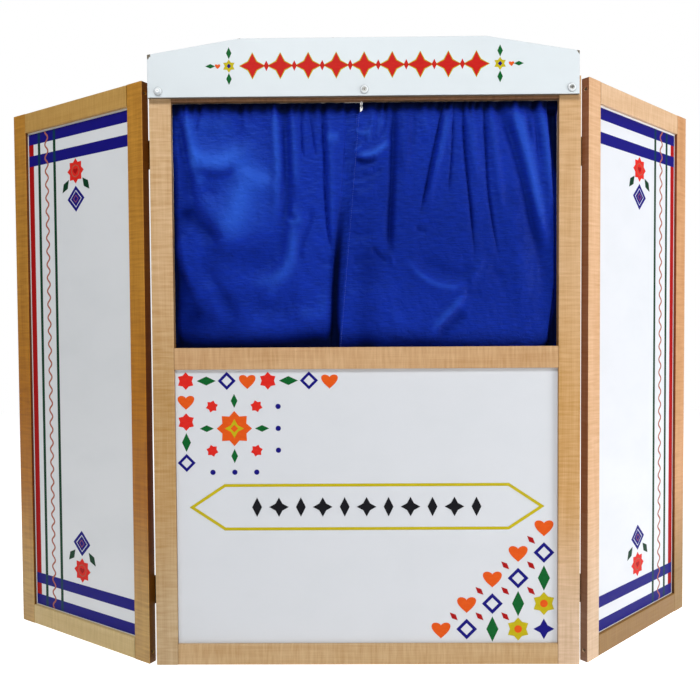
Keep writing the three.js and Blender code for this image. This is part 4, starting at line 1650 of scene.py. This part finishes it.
RIGHT_FOLDS = (
    Fold(((-24, 1118), (-6, 1108), (14, 1112)), 4, -2.6),
    Fold(((-30, 1070), (-16, 1076), (-2, 1088)), 4, -2.4),
    Fold(((-34, 1012), (-14, 1006), (6, 1010)), 4, -2.2),
    Fold(((-38, 950), (-18, 944), (0, 950)), 4, -2.0),
    Fold(((-20, 1060), (8, 1062), (30, 1074), (56, 1094)), 6, -5.0),
    Fold(((-18, 1047), (4, 1046), (28, 1058)), 5, 3.4),
    Fold(((-10, 1022), (12, 1024), (38, 1042)), 6, 2.8),
    Fold(((-24, 982), (4, 984), (30, 1000)), 9, -3.0),
    Fold(((4, 1086), (13, 1118), (22, 1155)), 6, -3.2),
    Fold(((22, 1096), (32, 1128), (40, 1168)), 5, -3.0),
    hung(((46, 1172), (42, 1130), (30, 1096)), 5, 3.0),
    hung(((62, 1172), (61, 1115), (58, 1030), (54, 950), (52, 890), (54, 850)), 7.5, 7.0, 0.25),
    Fold(((12, 876), (28, 858), (46, 842)), 5, 3.8),
    Fold(((48, 862), (56, 850), (58, 830)), 5, -2.4),
    hung(((88, 1172), (85, 1110), (80, 1010)), 11, -4.6),
    hung(((104, 1172), (101, 1130), (96, 1060)), 7, 4.0),
    hung(((128, 1172), (127, 1140), (125, 1090)), 10, -3.2),
    crease(((163, 1172), (148, 1095), (128, 1000), (112, 938)), 3.2, 6.4, -0.3),
    hung(((178, 1172), (163, 1100), (143, 1020), (126, 940)), 9, -4.0),
    crease(((184, 1172), (180, 1065), (173, 980)), 3.0, 4.4),
    Fold(((104, 918), (114, 908), (130, 906)), 6, 3.2),
    crease(((203, 1172), (206, 1100), (213, 1020), (222, 930), (228, 840)), 3.2, 6.2, 0.25),
    hung(((220, 1172), (223, 1090), (234, 1000)), 10, -4.0),
    crease(((245, 1172), (250, 1100), (256, 1000), (266, 920), (280, 840)), 3.2, 5.6, 0.25),
    hung(((260, 1172), (268, 1080), (278, 1000), (290, 920)), 9, -3.8),
    hung(((270, 1172), (287, 1138), (303, 1105), (320, 1050), (336, 985), (350, 915), (366, 850),
         (380, 780)), 12, 8.0, 0.1),
    hung(((304, 1172), (322, 1090), (341, 1020), (361, 925), (380, 860)), 12, -6.0),
    hung(((331, 1172), (337, 1130), (346, 1080)), 5, 3.8),
    hung(((348, 1172), (354, 1120), (364, 1040)), 5, 3.4),
    hung(((364, 1172), (372, 1100), (381, 1010), (383, 920)), 8, -4.4),
    Fold(((84, 846), (116, 814), (150, 794), (186, 788), (214, 796)), 11, -5.4),
    Fold(((100, 862), (150, 830), (192, 818), (230, 832)), 14, 3.6),
    Fold(((206, 782), (224, 776), (244, 777)), 7, 3.2),
    Fold(((214, 800), (230, 824), (250, 862)), 8, -2.6),
    Fold(((212, 784), (180, 744), (154, 716), (130, 684)), 10, -5.4),
    Fold(((206, 742), (176, 710), (148, 688)), 14, 5.2),
    Fold(((258, 832), (276, 813), (296, 802)), 9, 3.0),
    Fold(((298, 970), (316, 865), (332, 750)), 20, -4.4),
    Fold(((-38, 906), (-8, 900), (20, 910)), 8, 2.6),
    Fold(((-34, 838), (0, 850), (34, 856)), 9, 2.4),
    Fold(((-44, 780), (0, 768), (66, 790)), 26, -3.6),
    Fold(((46, 748), (72, 714), (90, 680)), 14, -3.6),
)

# Painted light on the right half: strokes above zero are painted shade, as under the casing, at the foot
# and along the right stile; strokes below zero are painted highlights on its ridges and creases.
RIGHT_PAINTED_LIGHT = (
    Fold(((-24, 1118), (-6, 1108), (14, 1112)), 4, -0.24),
    Fold(((-30, 1070), (-16, 1076), (-2, 1088)), 4, -0.2),
    Fold(((-34, 1012), (-14, 1006), (6, 1010)), 4, -0.16),
    Fold(((20, 900), (8, 830), (2, 760), (0, 640), (0, 520)), 28, 0.26),
    Fold(((300, 1010), (320, 930), (336, 850)), 24, 0.16),
    hung(((-160, 1169), (60, 1170), (280, 1169), (520, 1167)), 16, 1.15),
    hung(((86, 1180), (86, 1100), (82, 1010)), 13, 0.2),
    hung(((-90, 990), (60, 920), (220, 860), (420, 760), (560, 700)), 150, 0.24),
    Fold(((-20, 1068), (10, 1066), (32, 1077), (58, 1097)), 7, -0.5),
    Fold(((-22, 1058), (0, 1052), (26, 1058)), 5, 0.5),
    Fold(((-6, 1150), (8, 1100), (16, 1060)), 14, -0.12),
    Fold(((30, 1150), (38, 1120), (44, 1090)), 12, -0.14),
    hung(((62, 1172), (61, 1115), (58, 1030), (54, 950), (52, 880), (54, 830)), 7, 0.2),
    crease(((163, 1172), (148, 1095), (128, 1000), (112, 930)), 2.6, 0.3),
    hung(((178, 1165), (164, 1100), (144, 1010)), 8, -0.12),
    crease(((184, 1172), (180, 1065), (173, 980)), 2.6, 0.22),
    crease(((203, 1172), (206, 1100), (213, 1020), (222, 930), (228, 830)), 2.6, 0.3),
    crease(((245, 1172), (250, 1100), (256, 1000), (266, 920), (280, 830)), 2.6, 0.24),
    Fold(((290, 1120), (312, 1065), (332, 995), (350, 915), (366, 850), (382, 760)), 9, 0.12),
    hung(((310, 1165), (334, 1080), (353, 1000), (374, 900)), 12, -0.36),
    hung(((364, 1165), (373, 1090), (381, 1000)), 7, -0.2),
    Fold(((82, 848), (116, 816), (150, 797), (186, 791), (216, 800)), 8, -0.2),
    Fold(((214, 788), (182, 748), (156, 720), (128, 686)), 9, -0.2),
    Fold(((212, 742), (178, 712), (146, 688)), 11, 0.2),
    hung(((-200, 655), (0, 655), (110, 655), (190, 645), (300, 642), (560, 640)), 34, 0.9),
    hung(((386, 1180), (394, 1100), (400, 1050), (405, 1000), (406, 850), (404, 750), (394, 695),
         (374, 600), (344, 400)), 9, 1.35),
)


@dataclass
class CurtainHalf:
    """One half of the curtain, gathered on the wire by a casing, its foot behind the middle rail.

    It is made in two pieces that meet without a step: the gathered cloth, which rides on the centre leaf,
    and the strip by its lead edge, which rides on the curtain's edge and moves as one.

    Attributes:
        side: -1 for the half on the audience's left, 1 for the one on its right.
        folds: Its folds.
        tones: Strokes of painted highlight, below zero, and of painted shade, above zero, beside the
            painted shade that its folds give.
        seam: Where the two pieces meet, in millimetres.
        lead_top: The lead edge at the casing.
        lead_flared: The lead edge just below the casing.
        lead_foot: The lead edge at the foot.
        behind: How far it hangs behind the other half at its lead edge.
        cut_width: The width of the gathered piece's flat cut; it is not used.
        lead_cut_width: The width of the lead piece's flat cut; it is not used.
        lead_steps: How many columns of faces the lead piece has.
        outer_ridge: Where the cloth falls back at its outer end, as distance from the middle and height.
        foot_rise: How far above the middle rail it starts to bend back, as x and height.
        lead_recess: Where it falls back behind the other half, as x, height and depth.
        end_turn, turn_ease: The height at which its outer edge goes behind the rail, and over
            how much height it does.
        casing_turn, casing_tail: How much cloth the casing's roof and its rear tail take.
        casing_rise: How far below the casing the cloth starts to close on the wire, and over
            how much height it does.
        fullness: How much wider the cloth is than the width that it hangs in.
        back_limit, front_limit: How far back and forward it may lie.
        top_fall: How far it falls back just below the casing.
    """

    side: int
    folds: tuple[Fold, ...]
    tones: tuple[Fold, ...]
    seam: float
    lead_top: float
    lead_flared: float
    lead_foot: float
    behind: float
    cut_width: float
    lead_cut_width: float
    lead_steps: int
    outer_ridge: tuple[Point, ...]
    foot_rise: tuple[Point, ...]
    lead_recess: tuple[tuple[float, float, float], ...] = ()
    thickness: float = 0.5
    wire_height: float = 1168.0
    wire_depth: float = 6.5
    hang_top: float = 1160.0
    hang_foot: float = 640.0
    rail_top: float = 667.0
    rail_back: float = 9.0
    end_turn: float = 674.3
    turn_ease: float = 0.5
    casing_turn: float = 16.0
    casing_tail: float = 24.0
    casing_rise: Point = (14.0, 12.0)
    fullness: float = 1.25
    back_limit: float = 20.0
    front_limit: float = -7.8
    top_fall: float = 4.6
    seam_flat: float = 6.0
    casing_roof: float = 6.3
    casing_back: float = 6.0
    casing_end: float = 398.6
    outer_edge: float = 398.6
    outer_edge_behind: float = 400.8
    top_depth: float = -3.6
    foot_depth: float = 12.4
    relief: float = 1.25
    fold_wear: float = 0.013
    pleat_pitch: Point = (11.0, 30.0)
    pleat_width: Point = (4.0, 8.0)
    pleat_depth: Point = (2.0, 5.5)
    pleat_reach: Point = (8.0, 20.0)
    pleat_slant: float = 0.09
    pleat_shade: float = 3.6
    recess_depth: float = 16.0
    row_pitch: float = 3.6
    column_pitch: float = 1.5
    stitch_length: float = 2.6
    stitch_gap: float = 1.3
    stitch_radius: float = 0.28
    stitch_inset: float = 3.4
    slide_travel: float = 270.0
    sharp_angle: float = math.radians(75.0)

    @property
    def name(self) -> str:
        """The half's name in the pieces' names."""
        return "left" if self.side < 0 else "right"

    @property
    def cut_length(self) -> float:
        """The length of the cloth from its foot to the end of its casing."""
        return self.hang_top - self.hang_foot + 2 * (self.wire_height - self.hang_top) + self.casing_tail

    def pleats(self, x: Array, z: Array) -> Array:
        """How far the uneven small pleats below the casing push the cloth back, in millimetres."""
        chance = np.random.default_rng(5 + self.side)
        push = np.zeros(x.shape)
        place = self.side * self.lead_top + 3.0
        below = np.maximum(self.hang_top - z, 0.0)
        while place < self.casing_end - 3.0:
            width = chance.uniform(*self.pleat_width)
            depth = chance.uniform(*self.pleat_depth)
            reach = chance.uniform(*self.pleat_reach)
            slant = chance.uniform(-self.pleat_slant, self.pleat_slant)
            off = (self.side * x - place - slant * below) / width
            push = push + depth * np.exp(-off * off) * np.exp(-below / reach)
            place += chance.uniform(*self.pleat_pitch)
        return push

    def crumple(self, x: Array, z: Array) -> Array:
        """Small uneven wrinkles over the whole cloth, in millimetres."""
        rough = [
            1.6 * noise.fractal((px / 38.0, pz / 52.0, self.side), 0.9, 2.1, 3)
            + 0.8 * noise.noise((px / 15.0, pz / 9.0, self.side))
            for px, pz in zip(x.ravel(), z.ravel())
        ]
        return np.array(rough).reshape(x.shape)

    def recess(self, x: Array, z: Array) -> Array:
        """How far the cloth falls back at its outer end and, on the rear half, behind the front half."""
        heights, edges = np.array(self.outer_ridge).T[::-1]
        edge = np.interp(z, heights[::-1], edges[::-1])
        push = self.recess_depth * smooth_step((self.side * x - edge) / 7.0)
        if self.lead_recess:
            places, heights, depths = np.array(self.lead_recess).T
            edge = np.interp(z, heights[::-1], places[::-1])
            deep = np.interp(z, heights[::-1], depths[::-1])
            push = push + deep * smooth_step((x - edge) / 5.0)
        return push

    def wear(self, x: Array, z: Array) -> Array:
        """The painted highlight and painted shade of the cloth.

        Args:
            x: Places along the curtain, in millimetres.
            z: Heights, in millimetres.

        Returns:
            0 at the strongest painted highlight, 0.5 where it has its plain colour, 1 at the darkest
            painted shade.
        """
        # Painted shade where the folds and pleats lie back, plus the strokes of painted highlight and
        # painted shade.
        folded = sum(fold.push(x, z) for fold in self.folds) + self.pleat_shade * self.pleats(x, z)
        toned = sum(tone.push(x, z) for tone in self.tones)
        return np.clip(0.5 + self.fold_wear * folded + 0.5 * toned, 0.0, 1.0)

    def depth(self, x: Array, z: Array) -> Array:
        """How far back the hanging cloth lies.

        Args:
            x: Places along the curtain, in millimetres.
            z: Heights, in millimetres.

        Returns:
            The depth in millimetres.
        """
        off = x - self.seam
        x = self.seam + off * smooth_step(np.abs(off) / self.seam_flat)
        fall = np.clip((self.hang_top - z) / (self.hang_top - self.rail_top), 0.0, 1.0)
        places, rises = np.array(self.foot_rise).T
        rise = np.interp(x, places, rises) + 5.0 * np.sin(x / 23.0)
        tuck = smooth_step((self.rail_top + rise - z) / rise)
        base = self.top_depth + self.top_fall * smooth_step(fall * 3.0)
        base = base + (self.foot_depth - self.top_depth - self.top_fall) * tuck
        seam_side = smooth_step(1.0 - (self.side * (x - self.seam) - 20.0) / 60.0)
        base = base + self.behind * seam_side - 1.6 * tuck * seam_side
        freed = smooth_step((self.wire_height - z) / 60.0)
        pushes = sum(fold.push(x, z) for fold in self.folds) * self.relief
        pushes = pushes * (0.3 + 0.7 * freed) * (1.0 - 0.65 * tuck)
        waves = 1.3 * np.sin(x / 15.0 + 2.2 * np.sin(x / 67.0) + z / 260.0) * freed * (1.0 - 0.6 * fall)
        depth = base + pushes + self.pleats(x, z) + waves + self.crumple(x, z) * freed + self.recess(x, z)
        return self.held(x, z, depth)

    def held(self, x: Array, z: Array, depth: Array) -> Array:
        """Keep the cloth behind the middle rail, before the folded wings and off the wire.

        Args:
            x: Places along the curtain, in millimetres.
            z: Heights, in millimetres.
            depth: The depth before it is held, in millimetres.

        Returns:
            The held depth.
        """
        ease = 1.0
        near_middle = smooth_step((64.0 - np.abs(x)) / 10.0)
        near_end = smooth_step((np.abs(x) - 393.0) / 4.5)
        near_foot = smooth_step((self.end_turn - z) / self.turn_ease)
        back = self.back_limit - np.maximum(6.3 * near_middle, (14.2 - 7.9 * near_foot) * near_end)
        by_wire = self.cased(z)
        at_wire = self.wire_depth - 2.0 - self.thickness - 2.4 * smooth_step((np.abs(x) - 374.0) / 8.0)
        back = back * (1 - by_wire) + at_wire * by_wire
        slope = 0.3 + 1.2 * near_end
        front = self.rail_back + self.thickness / 2 + 0.5 - slope * np.maximum(z - self.rail_top - 4.0, 0.0)
        front = np.maximum(front, self.front_limit) + self.behind * smooth_step((70.0 - np.abs(x)) / 12.0)
        over = np.maximum(depth - (back - ease), 0.0)
        depth = np.where(over > 0, back - ease * np.exp(-over / ease), depth)
        under = np.maximum(front + ease - depth, 0.0)
        return np.where(under > 0, front + ease * np.exp(-under / ease), depth)

    def cased(self, z: Array) -> Array:
        """How far the cloth has closed on the wire at each height, from 0 to 1."""
        below, over = self.casing_rise
        return smooth_step((z - self.hang_top + below) / over)

    def lay(self, x: Array, run: Array) -> Array:
        """Where the cloth lies at each place along the curtain and distance from its foot.

        Args:
            x: Places along the curtain, in millimetres.
            run: Distances along the cloth from its foot, in millimetres.

        Returns:
            The points in millimetres.
        """
        hang = self.hang_top - self.hang_foot
        rise = self.wire_height - self.hang_top
        z = self.hang_foot + np.minimum(run, hang)
        depth = self.depth(x, z)
        radius = self.wire_depth - depth
        behind_wire = np.minimum(radius, self.casing_back)
        above = np.clip((run - hang) / rise, 0.0, 1.0)
        turn = np.clip((run - hang - rise) / self.casing_turn, 0.0, 1.0) * math.pi
        behind = np.maximum(run - hang - rise - self.casing_turn, 0.0)
        reach = np.where(turn < math.pi / 2, radius, behind_wire)
        y = np.where(run <= hang, depth, self.wire_depth - reach * np.cos(turn))
        z = z + above * rise + self.casing_roof * np.sin(turn) - behind
        return np.stack([x, y, z], axis=-1)

    def outer_at(self, run: Array) -> Array:
        """The outer edge at each distance from the foot, in millimetres."""
        behind_rail = smooth_step((self.end_turn - self.hang_foot - run) / self.turn_ease)
        return self.side * (self.outer_edge * (1 - behind_rail) + self.outer_edge_behind * behind_rail)

    def seam_at(self, run: Array) -> Array:
        """Where the two pieces meet at each distance from the foot, in millimetres."""
        return np.full_like(run, self.seam)

    def lead_at(self, run: Array) -> Array:
        """The lead edge at each distance from the foot, in millimetres."""
        fall = 1.0 - np.clip(run / (self.hang_top - self.hang_foot), 0.0, 1.0)
        swept = self.lead_flared + (self.lead_foot - self.lead_flared) * fall
        cased = self.cased(self.hang_foot + run)
        return swept * (1 - cased) + self.lead_top * cased

    def sheet(self, name: str, first: object, last: object, columns: int) -> Mesh:
        """Lay one piece of the cloth between two edges.

        Args:
            name: The name of the UV layer.
            first: A method that gives one edge along the run.
            last: A method that gives the other edge.
            columns: How many columns of faces it has.

        Returns:
            The piece, in metres, with its thickness.
        """
        rows = round(self.cut_length / self.row_pitch)
        mesh = bmesh.new()
        bmesh.ops.create_grid(mesh, x_segments=columns, y_segments=rows, size=1.0)
        mesh.verts.ensure_lookup_table()
        flat = np.array([vert.co for vert in mesh.verts])
        across = (flat[:, 0] + 1) / 2
        run = (flat[:, 1] + 1) / 2 * self.cut_length
        start, end = first(run), last(run)
        x = start + (end - start) * across
        points = self.lay(x, run) * MM
        layer = mesh.loops.layers.uv.new(name)
        # The second UV map carries the painted highlight and painted shade.
        wear_and_shade = mesh.loops.layers.uv.new("wear")
        wear = self.wear(x, points[:, 2] / MM)
        for vert, point, place, height, tone in zip(mesh.verts, points, x, run, wear):
            vert.co = point
            for loop in vert.link_loops:
                loop[layer].uv = (place * self.fullness * MM, height * MM)
                loop[wear_and_shade].uv = (tone, 0.5)
        mesh.normal_update()
        if mesh.faces[:][len(mesh.faces) // 2].normal.y > 0:
            bmesh.ops.reverse_faces(mesh, faces=mesh.faces)
        bmesh.ops.solidify(mesh, geom=mesh.faces[:], thickness=self.thickness * MM)
        mesh.normal_update()
        for edge in mesh.edges:
            edge.smooth = edge.calc_face_angle(0.0) < self.sharp_angle
        area = sum(face.calc_area() for face in mesh.faces) / 2 / MM / MM
        LOG.info("%s half: %.0f by %.0f mm of cloth", self.name, area / self.cut_length, self.cut_length)
        return mesh

    def stitches(self, line: Array, name: str, body: str) -> Piece:
        """Sew a row of stitches along a line on the face of the cloth.

        Args:
            line: Points on the cloth's face in millimetres, close together.
            name: The piece's name.
            body: The body it rides on.

        Returns:
            The stitches.
        """
        steps = np.linalg.norm(np.diff(line, axis=0), axis=1)
        runs = np.concatenate([[0.0], np.cumsum(steps)])
        pitch = self.stitch_length + self.stitch_gap
        mesh = bmesh.new()
        for index in range(int(runs[-1] / pitch)):
            start, end = (
                Vector([np.interp(index * pitch + part, runs, line[:, axis]) for axis in range(3)])
                for part in (0.0, self.stitch_length)
            )
            along = end - start
            turn = along.to_track_quat("Z", "Y").to_matrix().to_4x4()
            size = Matrix.Diagonal((self.stitch_radius, self.stitch_radius, along.length / 2, 1.0))
            bmesh.ops.create_uvsphere(
                mesh,
                u_segments=6,
                v_segments=4,
                radius=1.0,
                matrix=Matrix.Scale(MM, 4) @ Matrix.Translation((start + end) / 2) @ turn @ size,
            )
        thread = SewingThread("curtain_thread", "#3A5CC4", "#1C3796")
        return finished_piece(name, mesh, body, thread, smooth=True)

    def build(self) -> None:
        """Hang both pieces of the half and sew its hem."""
        cloth = LiningCloth("curtain_lining", "#0722A0", "#04177C", "#2A5AD0", "#010528", "#5C9CFF")
        columns = round(abs(self.outer_edge - abs(self.seam)) / self.column_pitch)
        main_mesh = self.sheet("cloth", self.outer_at, self.seam_at, columns)
        main = finished_piece(f"{self.name}_gathered_cloth", main_mesh, "centre_leaf", cloth, smooth=True)
        body = f"{self.name}_curtain_edge"
        lead_mesh = self.sheet("cloth", self.seam_at, self.lead_at, self.lead_steps)
        lead = finished_piece(f"{self.name}_lead_cloth", lead_mesh, body, cloth, smooth=True)
        run = np.arange(6.0, self.hang_top - self.hang_foot - 4.0, 2.0)
        hem_x = self.lead_at(run) + self.side * self.stitch_inset
        hem = self.lay(hem_x, run)
        hem[:, 1] -= self.thickness / 2 + self.stitch_radius / 2
        stitches = self.stitches(hem, f"{self.name}_lead_hem_stitches", body)
        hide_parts(f"{self.name}_curtain")
        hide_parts(f"{self.name}_curtain_lead_edge")
        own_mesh(main)


@dataclass
class Hardware:
    """The hinges, wires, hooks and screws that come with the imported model."""

    wire: MouldedPlastic = MouldedPlastic("wire_sheath", "#E6E8E8", "#CDD0CE")
    # The hinges' dark bronze is partly painted shade: it is set as dark as the shaded gap between the
    # leaves.
    hinge: WorkedSteel = WorkedSteel("bronzed_shaded_hinge_steel", "#4A3623", "#2E2116", 0.4)
    screw: WorkedSteel = WorkedSteel("zinc_screw_steel", "#A5A29B", "#7C7871", 0.3)

    def dress(self, nodes: Nodes) -> None:
        """Give each fitting its finish.

        Args:
            nodes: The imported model's pieces by name.
        """
        for name, piece in nodes.items():
            if "_hinge_" in name:
                self.hinge.put_on(piece)
            elif name.startswith("header_") and name.endswith("_screw"):
                steel = WorkedSteel(f"{name}_steel", "#D2D2CE", "#BDBDB8", 0.3, face_middle(name))
                steel.put_on(piece)
            elif name.endswith("_screw") or name in ("left_wire_hook", "right_wire_hook"):
                self.screw.put_on(piece)
            elif name in ("curtain_wire", "middle_wire_hook"):
                self.wire.put_on(piece)
        LOG.info("hardware dressed")


@dataclass(frozen=True)
class SoftLamp:
    """A soft rectangular lamp.

    Attributes:
        name: Its name.
        place: Where it stands, in metres.
        target: What it faces, in metres.
        size: Its width and height, in metres.
        power: Its power in watts.
        colour: Its colour.
    """

    name: str
    place: tuple[float, float, float]
    target: tuple[float, float, float]
    size: Point
    power: float
    colour: str = "#FFFFFF"

    def build(self) -> None:
        """Hang the lamp."""
        light = bpy.data.lights.new(self.name, "AREA")
        light.shape = "RECTANGLE"
        light.size, light.size_y = self.size
        light.energy = self.power
        light.color = linear(self.colour)[:3]
        lamp = bpy.data.objects.new(self.name, light)
        facing = (Vector(self.target) - Vector(self.place)).to_track_quat("-Z", "Y")
        lamp.matrix_world = Matrix.Translation(self.place) @ facing.to_matrix().to_4x4()
        bpy.context.scene.collection.objects.link(lamp)


@dataclass
class Studio:
    """The floor, the lamps and the camera, which stands where the photographer stood."""

    camera_place: tuple[float, float, float] = (-0.01937, -1.40112, 0.69886)
    camera_yaw: float = -0.0096
    camera_pitch: float = 0.027
    camera_roll: float = -0.0064
    lens: float = 34.53
    sensor: float = 36.0
    floor_size: float = 9.0
    floor_glow: float = 0.22
    floor_seen: float = 0.8
    lamps: tuple[SoftLamp, ...] = (
        SoftLamp("ceiling_lamp", (-0.5, -2.5, 3.7), (0.0, 0.0, 0.6), (1.1, 0.8), 100.0),
        SoftLamp("window_lamp", (2.3, -0.9, 1.0), (0.6, 0.1, 0.6), (0.7, 1.2), 27.0),
        SoftLamp("back_fill", (0.0, 3.2, 2.4), (0.0, 0.0, 0.6), (2.4, 1.6), 35.0),
    )
    world_strength: float = 0.18

    def add_camera(self) -> None:
        """Set up the camera."""
        yaw, pitch, roll = self.camera_yaw, self.camera_pitch, self.camera_roll
        across = math.cos(pitch)
        ahead = Vector((math.sin(yaw) * across, math.cos(yaw) * across, -math.sin(pitch)))
        level = Vector((math.cos(yaw), -math.sin(yaw), 0.0))
        upward = level.cross(ahead)
        right = level * math.cos(roll) + upward * math.sin(roll)
        up = upward * math.cos(roll) - level * math.sin(roll)
        data = bpy.data.cameras.new("studio_camera")
        data.lens = self.lens
        data.sensor_width = self.sensor
        camera = bpy.data.objects.new("studio_camera", data)
        turn = Matrix((right, up, -ahead)).transposed().to_4x4()
        camera.matrix_world = Matrix.Translation(self.camera_place) @ turn
        bpy.context.scene.collection.objects.link(camera)
        bpy.context.scene.camera = camera

    def add_floor(self) -> None:
        """Lay a flat, pale floor."""
        mesh = bmesh.new()
        half = self.floor_size / 2
        bmesh.ops.create_grid(mesh, x_segments=1, y_segments=1, size=half)
        bmesh.ops.translate(mesh, verts=mesh.verts, vec=(0.0, 0.0, -0.0005))
        data = bpy.data.meshes.new("studio_floor")
        mesh.to_mesh(data)
        mesh.free()
        floor = bpy.data.objects.new("studio_floor", data)
        bpy.context.scene.collection.objects.link(floor)
        material, tree = new_tree("studio_paper")
        paper = add_node(tree, "BsdfDiffuse", {"Color": linear("#E9E9E9")})
        seen = camera_or(tree, "Is Glossy Ray")
        strength = ramp(tree, seen, 0.0, 1.0, self.floor_glow, self.floor_seen)
        glow = add_node(tree, "Emission", {"Color": (1.0, 1.0, 1.0, 1.0)}, {"Strength": strength})
        both = add_node(tree, "AddShader", links={0: paper.outputs[0], 1: glow.outputs[0]})
        close_tree(tree, both.outputs[0])
        data.materials.append(material)

    def add_world(self) -> None:
        """Fill the room with a plain light, which the camera sees as white."""
        world = bpy.data.worlds.new("studio_room")
        world.use_nodes = True
        tree = world.node_tree
        tree.nodes.clear()
        seen = camera_or(tree, "Is Transmission Ray")
        strength = ramp(tree, seen, 0.0, 1.0, self.world_strength, 1.0)
        sky = add_node(tree, "Background", {"Color": linear("#FFFFFF")}, {"Strength": strength})
        add_node(tree, "OutputWorld", links={"Surface": sky.outputs[0]})
        bpy.context.scene.world = world

    def build(self) -> None:
        """Set up the whole studio."""
        self.add_camera()
        self.add_floor()
        self.add_world()
        for lamp in self.lamps:
            lamp.build()
        bpy.context.scene.view_settings.view_transform = "Standard"
        LOG.info("studio ready")


def camera_or(tree: Tree, kind: str) -> Socket:
    """1 for the camera's rays and for one other kind, 0 for all others."""
    rays = add_node(tree, "LightPath")
    return calculate(tree, "MAXIMUM", rays.outputs["Is Camera Ray"], rays.outputs[kind])


def leaf_places(frame: dict) -> dict[str, LeafPlace]:
    """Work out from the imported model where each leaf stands.


    Returns:
        The places by the leaf's name.
    """
    places = {"centre": LeafPlace(1, (0.0, 0.0), 0.0, 0.0)}
    pins = {joint["child"]: joint["pos_m"] for joint in frame["joints"] if joint["type"] == "hinge"}
    centre_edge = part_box("centre_right_stile")[1].x
    for side, wing in ((-1, "left_wing"), (1, "right_wing")):
        ends = [sum(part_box(f"{wing}_{end}_stile"), Vector()) / 2 for end in ("inner", "outer")]
        along = ends[1] - ends[0]
        angle = math.atan2(along.y, side * along.x)
        pin_x, pin_y, _ = pins[wing]
        gap = 2 * (abs(pin_x) - centre_edge)
        edge = pin_x + side * gap / 2
        places[wing] = LeafPlace(side, (pin_x, pin_y), angle, edge)
    return places


def main() -> None:
    """Build the dressed puppet theatre."""
    logging.basicConfig(level=logging.INFO, format="%(name)s: %(message)s")
    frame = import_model()
    nodes = frame["nodes"]
    places = leaf_places(frame)

    Studio().build()
    FramedLeaves(places).dress(nodes)
    Hardware().dress(nodes)
    header = HeaderBoard(places["centre"])
    header.dress(nodes)
    header.build()
    FrontPrint(places["centre"]).build()
    for wing in ("left_wing", "right_wing"):
        WingPrint(wing, places[wing]).build()
    HingeScrews(places).build()
    CurtainHalf(
        side=1,
        folds=RIGHT_FOLDS,
        tones=RIGHT_PAINTED_LIGHT,
        seam=19.0,
        lead_top=-3.5,
        lead_flared=-13.0,
        lead_foot=-58.0,
        behind=0.0,
        cut_width=420.0,
        lead_cut_width=54.0,
        lead_steps=44,
        outer_ridge=((374.0, 1150.0), (384.0, 1050.0), (390.0, 960.0), (391.0, 800.0), (376.0, 667.0)),
        foot_rise=((-60.0, 52.0), (0.0, 40.0), (120.0, 36.0), (200.0, 20.0), (400.0, 16.0)),
    ).build()
    CurtainHalf(
        side=-1,
        folds=LEFT_FOLDS,
        tones=LEFT_PAINTED_LIGHT,
        seam=-31.0,
        lead_top=-8.5,
        lead_flared=-12.0,
        lead_foot=-20.0,
        behind=2.6,
        cut_width=395.0,
        lead_cut_width=16.0,
        lead_steps=12,
        outer_ridge=((386.0, 1150.0), (388.0, 900.0), (384.0, 667.0)),
        recess_depth=3.0,
        foot_rise=((-400.0, 54.0), (-300.0, 46.0), (-200.0, 36.0), (-100.0, 56.0), (0.0, 56.0)),
        lead_recess=((-43.0, 1172.0, 4.0), (-45.0, 1080.0, 5.0), (-54.0, 960.0, 4.5), (-65.0, 870.0, 8.0),
                     (-72.0, 790.0, 14.0), (-77.0, 640.0, 15.0)),
    ).build()

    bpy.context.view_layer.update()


if __name__ == "__main__":
    main()
